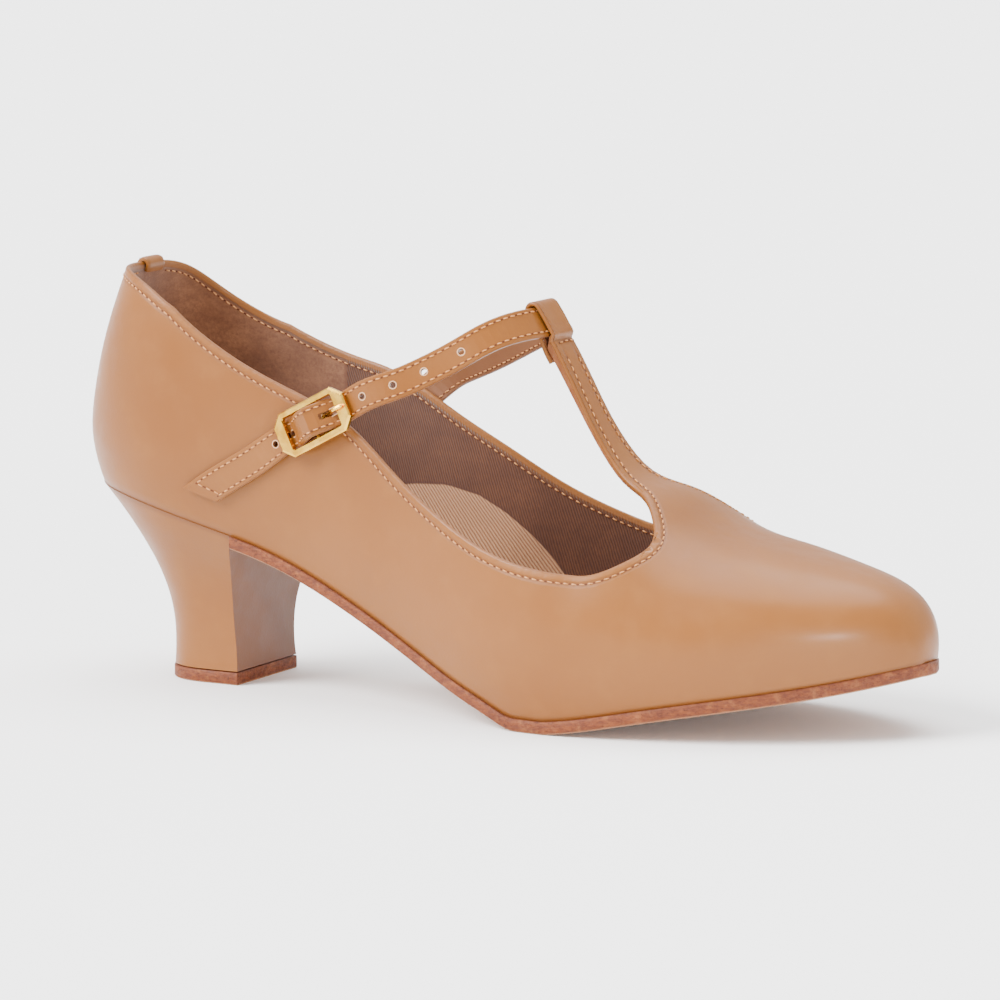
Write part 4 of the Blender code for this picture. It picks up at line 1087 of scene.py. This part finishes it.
def build_upper():
    """Upper as a shell: outer face, lining, and the edge turned between them."""
    verts, faces, wall, part, on_loop = upper_grid()
    faces = one_way(verts, faces)
    n = normals_of(verts, faces)
    if n[int(np.argmax(verts[:, 0]))][0] < 0:
        faces = [f[::-1] for f in faces]
        n = -n
    loops = edge_loops(faces)
    out = edge_ways(verts, n, loops)
    outer = verts.copy()
    at_collar = {i: verts[i][2] > float(seat(verts[i][0])) + ABOVE_SOLE for i in out}
    for i, e in out.items():
        if at_collar[i]:
            wall[i] = min(wall[i], EDGE_WALL)
        outer[i] = verts[i] - e * wall[i] / 2 if at_collar[i] else verts[i] + e * TUCK
    count = len(outer)
    inner = outer - n * wall[:, None]
    points = [tuple(p) for p in outer] + [tuple(p) for p in inner]
    quads = list(faces) + [tuple(i + count for i in f[::-1]) for f in faces]
    # Looks: 0 leather; inside, 1 textile, 2 heel grip, 3 lining of the stem
    kinds = [0] * len(faces)
    for f, where in zip(faces, part):
        at_heel = float(np.mean([verts[i][0] for i in f])) < SEAM_X
        kinds.append(3 if where else 2 if at_heel else 1)
    arcs = {}
    for i, e in out.items():
        r = wall[i] / 2
        mid = outer[i] - n[i] * r
        ring = [i]
        for k in range(1, ROUND_STEPS):
            a = pi * k / ROUND_STEPS
            ring.append(len(points))
            reach = r if at_collar[i] else TUCK
            points.append(tuple(mid + n[i] * r * cos(a) + e * reach * sin(a)))
        arcs[i] = ring + [i + count]
    for loop in loops:
        for a, b in zip(loop, loop[1:] + loop[:1]):
            for k in range(ROUND_STEPS):
                quads.append((arcs[b][k], arcs[a][k], arcs[a][k + 1], arcs[b][k + 1]))
                kinds.append(0)
    marks = {
        "edge": distance_to([verts[i] for loop in loops for i in loop if at_collar[i]], points),
        "up": [p[2] - float(seat(p[0])) for p in points],
        "sewn": [0.0 if i % count in on_loop and i < 2 * count else 1.0 for i in range(len(points))],
        "sock": [above_sock(p) for p in points],
    }
    piece("upper_shell", "upper", points, quads, (tan_leather, textile, heel_grip, stem_lining),
          "upper", kinds, marks)
    return verts, faces, n, loops, out


# Stitching: short threads lying on a line, with a hole at each end painted dark as shade

PITCH = 2.05            # from one stitch to the next
THREAD = 0.19           # radius of the thread
STITCH = 1.22           # length of the thread that shows
THREAD_SIDES = 6        # sides of the thread
THREAD_SLANT = 0.10     # how far a stitch turns from its row
THREAD_LIFT = 0.55      # height of its middle, in radii
THREAD_DIP = 0.65       # how far its ends go down, in radii
# Place along the stitch, share of the thread's radius
THREAD_FORM = ((-0.5, 0.35), (-0.36, 0.85), (0.0, 1.0), (0.36, 0.85), (0.5, 0.35))
LOOK_AHEAD = 0.4        # distance over which a row's direction is taken
HOLE_LONG, HOLE_WIDE = 0.30, 0.22       # half sizes of a stitch hole
HOLE_SIDES = 8          # sides of a hole, and of a thin rim
HOLE_MIDDLE, HOLE_RIM = 0.02, 0.035     # heights of its middle and its rim
RIM_SIDES = 28          # steps round the rim of a strap hole
RIM_FLAT = 0.6          # its height over its width
RIM_OUT, RIM_THICK = 0.13, 0.14         # its middle from the hole's wall, half its width
LOOP_SEAM = (0.25, -0.15)               # the loop's seam from the stem's top: ahead, up
LOOP_SEAM_IN, LOOP_SEAM_BOW = 1.3, 0.018    # its ends from the edges, its curve
STRAP_STEPS = 400       # steps along the strap's rows
SLANT_ROWS = 5          # packed rows over which the tail's slant fades
TAIL_SEAM = 7           # step of the row across the tail
TAIL_SEAM_SLANT = 0.93  # its share of the tail's slant
ON_TOP = 0.01           # rows lie this much above the strap
BEHIND = 0.02           # and those of its back and the tab this much
AT_LOOP = (1.5, 6.5, 8.0)               # the collar's rows stop this far ahead, aside and below it
ABOVE_SOLE = 8.0        # a free edge higher than this above the sole is the collar


def walk(line):
    """Even steps along a line of points and normals: point, direction, normal."""
    pts = np.array([p for p, _ in line], float)
    nrm = np.array([n for _, n in line], float)
    run = run_along(pts)
    count = max(2, int(run[-1] / PITCH))

    def at(values, u):
        return np.array([np.interp(u, run, values[:, k]) for k in range(3)])

    out = []
    for u in np.linspace(run[-1] / count / 2, run[-1] - run[-1] / count / 2, count):
        n = unit(at(nrm, u))
        t = unit(at(pts, min(u + LOOK_AHEAD, run[-1])) - at(pts, max(u - LOOK_AHEAD, 0.0)))
        out.append((at(pts, u), t, unit(n - t * n.dot(t))))
    return out


def thread(p, t, n):
    """One stitch, tapered at both ends and a little slanted."""
    w = np.cross(t, n)
    t = unit(t + w * THREAD_SLANT)
    w = np.cross(t, n)
    rings = []
    for s, r in THREAD_FORM:
        lift = THREAD * (THREAD_LIFT - THREAD_DIP * (2 * abs(s)) ** 3)
        rings.append([p + t * s * STITCH + n * (lift + THREAD * r * sin(a)) + w * THREAD * r * cos(a)
                      for a in turns(THREAD_SIDES)])
    return tube(rings)


def hole(p, t, n):
    """Dimple where the thread goes in, painted dark as shade."""
    w = np.cross(t, n)
    rim = [p + n * HOLE_RIM + t * HOLE_LONG * cos(a) + w * HOLE_WIDE * sin(a) for a in turns(HOLE_SIDES)]
    return [p + n * HOLE_MIDDLE] + rim, [(0, 1 + k, 1 + (k + 1) % HOLE_SIDES) for k in range(HOLE_SIDES)]


def sew(name, slot, lines):
    """Stitches along the lines, each thread and its holes."""
    spots = [spot for line in lines for spot in walk(line)]
    verts, faces = merged(thread(*spot) for spot in spots)
    piece(name, slot, verts, outward_each(verts, faces), (thread_pale,))
    piece(name + "_holes", slot,
          *merged(hole(p + t * s * PITCH, t, n) for p, t, n in spots for s in (-0.5, 0.5)), (hole_shade,))


def turned_over(lines, thick):
    """The same lines on the other face of a leather."""
    return [[(p - n * thick, -n) for p, n in line] for line in lines]


def outward_each(verts, faces):
    """Faces of the threads turned outward, by the first thread's own turn."""
    rings = len(THREAD_FORM)
    first = faces[:(rings - 1) * THREAD_SIDES + 2]
    turned = outward(verts[:rings * THREAD_SIDES], first) != first
    return [tuple(f[::-1]) for f in faces] if turned else faces


def ring_of(p, t, n, radius, thick, long=0.0):
    """Thin round ring lying on a surface, stretched by long along t."""
    w = np.cross(t, n)
    verts = []
    for a in turns(RIM_SIDES):
        ahead = long if cos(a) > 1e-9 else -long if cos(a) < -1e-9 else 0.0
        way = t * cos(a) + w * sin(a)
        mid = p + way * radius + t * ahead
        for b in turns(HOLE_SIDES):
            verts.append(mid + way * thick * cos(b) + n * thick * RIM_FLAT * sin(b))
    faces = []
    for k in range(RIM_SIDES):
        here, there = k * HOLE_SIDES, (k + 1) % RIM_SIDES * HOLE_SIDES
        for j in range(HOLE_SIDES):
            more = (j + 1) % HOLE_SIDES
            faces.append((here + j, here + more, there + more, there + j))
    return verts, outward(verts, faces)


def collar_lines(verts, faces, n, loops, out):
    """Lines at the stitching's distance inside the collar's and the stem's edges."""
    tree = BVHTree.FromPolygons([tuple(v) for v in verts], [list(f) for f in faces])
    ahead, aside, below = AT_LOOP
    lines = []
    for loop in loops:
        high = [i for i in loop if verts[i][2] > float(seat(verts[i][0])) + ABOVE_SOLE]
        if len(high) < len(loop) / 2:
            continue
        line = []
        for i in loop + loop[:1]:
            p = verts[i]
            if p[0] < STEM_TOP + ahead and abs(p[1]) < aside and p[2] > float(ridge(STEM_TOP)) - below:
                if len(line) > 3:
                    lines.append(line)
                line = []
                continue
            hit, normal, _, _ = tree.find_nearest(Vector(p - out[i] * EDGE_STITCH))
            normal = np.array(normal)
            if normal.dot(n[i]) < 0:
                normal = -normal
            line.append((np.array(hit), unit(normal)))
        if len(line) > 3:
            lines.append(line)
    return lines


def loop_stitch():
    """Line across the loop where it is sewn down below the strap."""
    x, z = STEM_TOP + LOOP_SEAM[0], float(ridge(STEM_TOP)) + LOOP_SEAM[1]
    w = BALL_WIDTH * STEM[0][1] - LOOP_SEAM_IN
    out, facing = swell(STEM_TOP)
    return [(np.array((x, y, z - LOOP_SEAM_BOW * y * y)) + facing * out, facing)
            for y in np.linspace(-w, w, 9)]


def strap_rows():
    """Rows of stitching along both edges of the strap and across its tail."""
    frames = strap_frames(STRAP_STEPS)

    def on_strap(frame_at, a, slant):
        p, t, n, w, wide = frame_at
        return p + w * a + t * slant * a / (wide / 2) + n * (STRAP / 2 + ON_TOP), n

    rows = []
    for side in (-1, 1):
        row = []
        for i, here in enumerate(frames):
            slant = TAIL_SLANT * max(0.0, 1 - i / (SLANT_ROWS * STRAP_STEPS / STRAP_ROWS))
            if i > SLANT_ROWS:
                row.append(on_strap(here, side * (here[4] / 2 - STRAP_STITCH), slant))
        rows.append(row)
    across = frames[TAIL_SEAM]
    b = across[4] / 2 - STRAP_STITCH
    rows.append([on_strap(across, a, TAIL_SLANT * TAIL_SEAM_SLANT) for a in np.linspace(-b, b, 9)])
    return rows


def hole_places():
    """Holes of the strap: middle, direction, facing, half length added."""
    frames = strap_frames(STRAP_ROWS)
    mid = BUCKLE_AT + BUCKLE_N * RISE
    zero = int(np.argmin([np.linalg.norm(f[0] - mid) for f in frames]))
    run = run_along([f[0] for f in frames])
    out = []
    for s in HOLES_AT:
        p, t, n, w, _ = frames[int(np.argmin(abs(run - run[zero] - s)))]
        out.append((p + n * STRAP / 2, t, n, 0.0))
    out.append((at_buckle(PRONG_HOLE, 0.0, strap_level(PRONG_HOLE) + STRAP / 2), BUCKLE_S, BUCKLE_N,
                PRONG_SLOT))
    return out


def build_strap_trim():
    """Stitching of the strap on both faces, and the rims of its holes."""
    rows = strap_rows()
    sew("strap_stitches", "strap", rows)
    sew("strap_back_stitches", "strap", turned_over(rows, STRAP + BEHIND))
    piece("strap_hole_rims", "strap",
          *merged(ring_of(p, t, n, HOLE + RIM_OUT, RIM_THICK, long) for p, t, n, long in hole_places()),
          (raw_pale,))


SLIT_IN = 0.15          # middle of the slit's edge from the end of the strap
SLIT_THICK, SLIT_WIDE = 0.32, 0.42      # half sizes of that edge
BOX_RUN = (1.2, 9.0)    # near and far end of the stitched box
SLIT_SPARE = 0.4        # the slit is longer than half the strap's width by this
BOX_IN = 0.6            # the box's sides from the slit's ends


def build_anchor():
    """Slit where the strap goes into the inner quarter, with its stitched box behind."""
    (x0, z0), (x1, z1) = [(a * LENGTH, b * INSTEP) for a, b in ANCHOR]
    way = unit((x1 - x0, 0.0, z1 - z0))
    side = np.array((-way[2], 0.0, way[0]))

    def spot(s, w, level=0.02):
        x, z = x1 + way[0] * s + side[0] * w, z1 + way[2] * s + side[2] * w
        return on_quarter(x, z, 1, level), quarter_normal(x, z, 1)

    half_wide = ANCHOR_WIDE / 2 + SLIT_SPARE
    t = unit(spot(SLIT_IN, 0.2)[0] - spot(SLIT_IN, -0.2)[0])
    rings = []
    for w in np.linspace(-half_wide, half_wide, 14):
        p, n = spot(SLIT_IN, w, 0.1)
        b = np.cross(t, n)
        rings.append([p + n * SLIT_THICK * sin(a) + b * SLIT_WIDE * cos(a) for a in turns(HOLE_SIDES)])
    piece("anchor_slit_edge", "upper", *loft(rings), (raw_pale,))
    start, end = BOX_RUN
    box = [spot(s, half_wide - BOX_IN) for s in np.linspace(start, end, 8)]
    box += [spot(end, w) for w in np.linspace(half_wide - 0.8, 0.8 - half_wide, 10)]
    box += [spot(s, BOX_IN - half_wide) for s in np.linspace(end, start, 8)]
    sew("anchor_stitches", "upper", [box])


# Edge of the sole: share of the half width, cut from it in mm, height in mm
SOLE_FORM = (
    (0.0, 0.0, 0.0), (0.35, 0.0, 0.0), (0.7, 0.0, 0.0), (1.0, 0.55, 0.0), (1.0, 0.28, 0.12), (1.0, 0.1, 0.32),
    (1.0, 0.0, 0.62), (1.0, 0.0, 1.3), (1.0, 0.0, 2.1), (1.0, 0.06, 2.75), (1.0, 0.2, 3.05), (1.0, 0.5, SOLE),
    (0.7, 0.0, SOLE), (0.35, 0.0, SOLE),
)
SOLE_COLS = 160         # rings along the sole
HEEL_RISES = 46         # levels of the heel's cover
# Edge of the top lift: height, how far it stands out, mm
LIFT_FORM = (
    (0.0, -0.1), (0.12, 0.1), (0.4, LIFT_EDGE), (LIFT * 0.5, LIFT_EDGE), (LIFT - 0.4, LIFT_EDGE),
    (LIFT - 0.12, 0.12), (LIFT, -0.05),
)


def build_sole():
    """Sole with a rounded, trimmed edge; up runs from its lower face to its upper one."""
    start = BREAST_TOP + GAP
    shares = [k / SOLE_COLS for k in range(SOLE_COLS)]
    xs = [start + (LENGTH - start) * (0.4 * t + 0.6 * sin(pi / 2 * t)) for t in shares]
    xs.append(LENGTH * 0.9995)
    rings, up = [], []
    for x in xs:
        shift = SOLE_EDGE * 0.75 if x == xs[-1] else 0.0
        c, z = float(centre(x)), float(under(x))
        outline = []
        for side in (1, -1):
            w = float(feather[side](x)) * float(toe_round(x, TOE_ROUND)) + SOLE_EDGE
            outline.append([(x + shift, c + side * max(w * share - cut, 0.0), z + rise, rise / SOLE)
                            for share, cut, rise in SOLE_FORM])
        ring = outline[0] + outline[1][::-1]
        rings.append([p[:3] for p in ring])
        up += [p[3] for p in ring]
    piece("sole_edge_and_tread", "outsole", *loft(rings), (sole_leather,), "outsole",
          marks={"up": up}, sharp=50)


def build_heel():
    """Covered heel, and the top lift with its trimmed edge."""
    rises = list(np.linspace(0.0, 1.0, HEEL_RISES))
    rings = [heel_ring(0.0, LIFT + GAP)] + [heel_ring(r) for r in rises[1:]]
    up = [r for r, ring in zip(rises, rings) for _ in ring]
    piece("heel_cover", "heel", *loft(rings), (heel_leather,), "heel", marks={"up": up}, sharp=40)
    rings = [heel_ring(0.0, level, grow) for level, grow in LIFT_FORM]
    up = [level / LIFT for level, _ in LIFT_FORM for _ in rings[0]]
    piece("top_lift_edge", "top_lift", *loft(rings), (sole_leather,), "top_lift", marks={"up": up}, sharp=50)


TAB_GAP = 0.08          # the tab lies this close round the collar
TAB_FOLD = -0.55        # middle of its fold, from the collar's height
TAB_INSIDE = (-1.2, -1.8)   # heights of its short inner arm
TAB_SEAM = 2.7          # its rows of stitching from its middle
TAB_BOW = 0.18          # how far it curves forward there


def build_tab():
    """Tab folded close over the collar at the back seam, and its stitching."""
    column = heel_column(pi / 2, -1)
    (xt, _, zt), (xl, _, zl) = column[-1], column[-3]
    along_it = unit((xt - xl, 0.0, zt - zl))
    _, reach, _ = heel_point(0.0, zt - float(seat(xt)), -1)

    def profile(gap):
        r = WALL / 2 + gap
        fold = [(WALL / 2 - r * cos(radians(a)), TAB_FOLD + r * sin(radians(a))) for a in range(0, 181, 15)]
        return [(-gap, s) for s in TAB_OUTER] + fold + [(WALL + gap, s) for s in TAB_INSIDE]

    outer, inner = profile(TAB + TAB_GAP), profile(TAB_GAP)[::-1]
    rings = []
    for share in np.linspace(-1, 1, 21):
        y = TAB_HALF * share
        bow = (HEEL_END - xt) * (1 - (1 - (abs(y) / abs(reach)) ** HEEL_ROUND) ** (1 / HEEL_ROUND))
        thin = 0.25 * TAB * share ** 8
        line = [(c + thin if c < 0 else c - thin if c > WALL else c, s - thin if s > 0 else s)
                for c, s in outer]
        rings.append([(xt + bow + along_it[2] * c + along_it[0] * s, y,
                       zt + along_it[2] * s - along_it[0] * c) for c, s in line + inner])
    piece("back_tab_fold", "back_tab", *loft(rings), (loop_leather,), "back_tab", sharp=50)
    facing = np.array((-along_it[2], 0.0, along_it[0]))

    def on_tab(y, up, out):
        return (np.array((xt, y, zt)) + along_it * up + facing * (TAB_GAP + TAB + BEHIND)
                + np.array((out, 0.0, 0.0)), facing)

    rows = [[on_tab(y, up, TAB_BOW) for up in np.linspace(-4.2, 0.2, 5)] for y in (-TAB_SEAM, TAB_SEAM)]
    rows.append([on_tab(y, -3.9, TAB_BOW * (y / TAB_SEAM) ** 2) for y in np.linspace(-2.2, 2.2, 5)])
    sew("back_tab_stitches", "back_tab", rows)


def dress(name, look):
    """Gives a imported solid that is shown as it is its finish."""
    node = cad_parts[name]
    node.data.materials.clear()
    node.data.materials.append(look)
    for face in node.data.polygons:
        face.material_index = 0


def staged(name, data, place=(0.0, 0.0, 0.0), toward=None):
    """New object of the setting, turned toward a point."""
    ob = bpy.data.objects.new(name, data)
    ob.location = place
    if toward is not None:
        ob.rotation_euler = (toward - Vector(place)).to_track_quat("-Z", "Y").to_euler()
    bpy.context.scene.collection.objects.link(ob)
    return ob


def studio():
    """Pale floor, soft lights and the photo's camera."""
    floor = bpy.data.meshes.new("floor")
    floor.from_pydata([(-9, -9, 0), (9, -9, 0), (9, 9, 0), (-9, 9, 0)], [], [(0, 1, 2, 3)])
    f = Finish("pale floor", Roughness=0.8, Specular_IOR_Level=0.1)
    w = f.wire
    f.tone = w.blend(w.noise(300.0), colour(252, 252, 252), colour(249, 249, 249))
    floor.materials.append(f.put())
    staged("floor", floor)

    world = bpy.data.worlds.new("pale room")
    bpy.context.scene.world = world
    world.use_nodes = True
    back = world.node_tree.nodes["Background"]
    back.inputs["Color"].default_value = (1.0, 1.0, 1.0, 1.0)
    back.inputs["Strength"].default_value = WORLD_LIGHT

    target = Vector(TARGET)
    for name, kind, place, size, power in LAMPS:
        lamp = bpy.data.lights.new(name, kind)
        if kind == "SUN":
            lamp.angle = size
        else:
            lamp.size = size
        lamp.energy = power
        staged(name, lamp, place, target)

    turn, rise = CAMERA_TURN, CAMERA_RISE
    eye = target + CAMERA_FAR * Vector((sin(turn) * cos(rise), -cos(turn) * cos(rise), sin(rise)))
    lens = bpy.data.cameras.new("camera")
    lens.lens, lens.sensor_width = CAMERA_LENS, CAMERA_SENSOR
    bpy.context.scene.camera = staged("camera", lens, eye, target)


TARGET = (0.0791, 0.0, 0.050)
WORLD_LIGHT = 1.35
CAMERA_TURN, CAMERA_RISE, CAMERA_FAR = radians(30.0), radians(8.5), 1.8
CAMERA_LENS, CAMERA_SENSOR = 262.0, 36.0
# Lamps: name, kind, place, size in metres or angle of a sun, power
LAMPS = (
    ("key", "SUN", (-0.8, -1.0, 1.15), 0.65, 8.0),
    ("top", "SUN", (0.0, 0.35, 1.6), 1.0, 4.2),
    ("toe side", "AREA", (1.19, -0.79, 0.24), 0.14, 9.0),
)

verts, faces, normals, loops, away = build_upper()
edges = collar_lines(verts, faces, normals, loops, away)
sew("collar_stitches", "upper", edges)
sew("loop_stitches", "upper", [loop_stitch()])
sew("lining_stitches", "upper", turned_over(edges, WALL))
build_strap_trim()
build_anchor()
build_sole()
build_heel()
build_tab()
for node, look in (("strap", strap_leather), ("insole", sock),
                   ("buckle_frame", pale_gold), ("buckle_prong", pale_gold), ("buckle_tab", tab_leather)):
    dress(node, look)
studio()
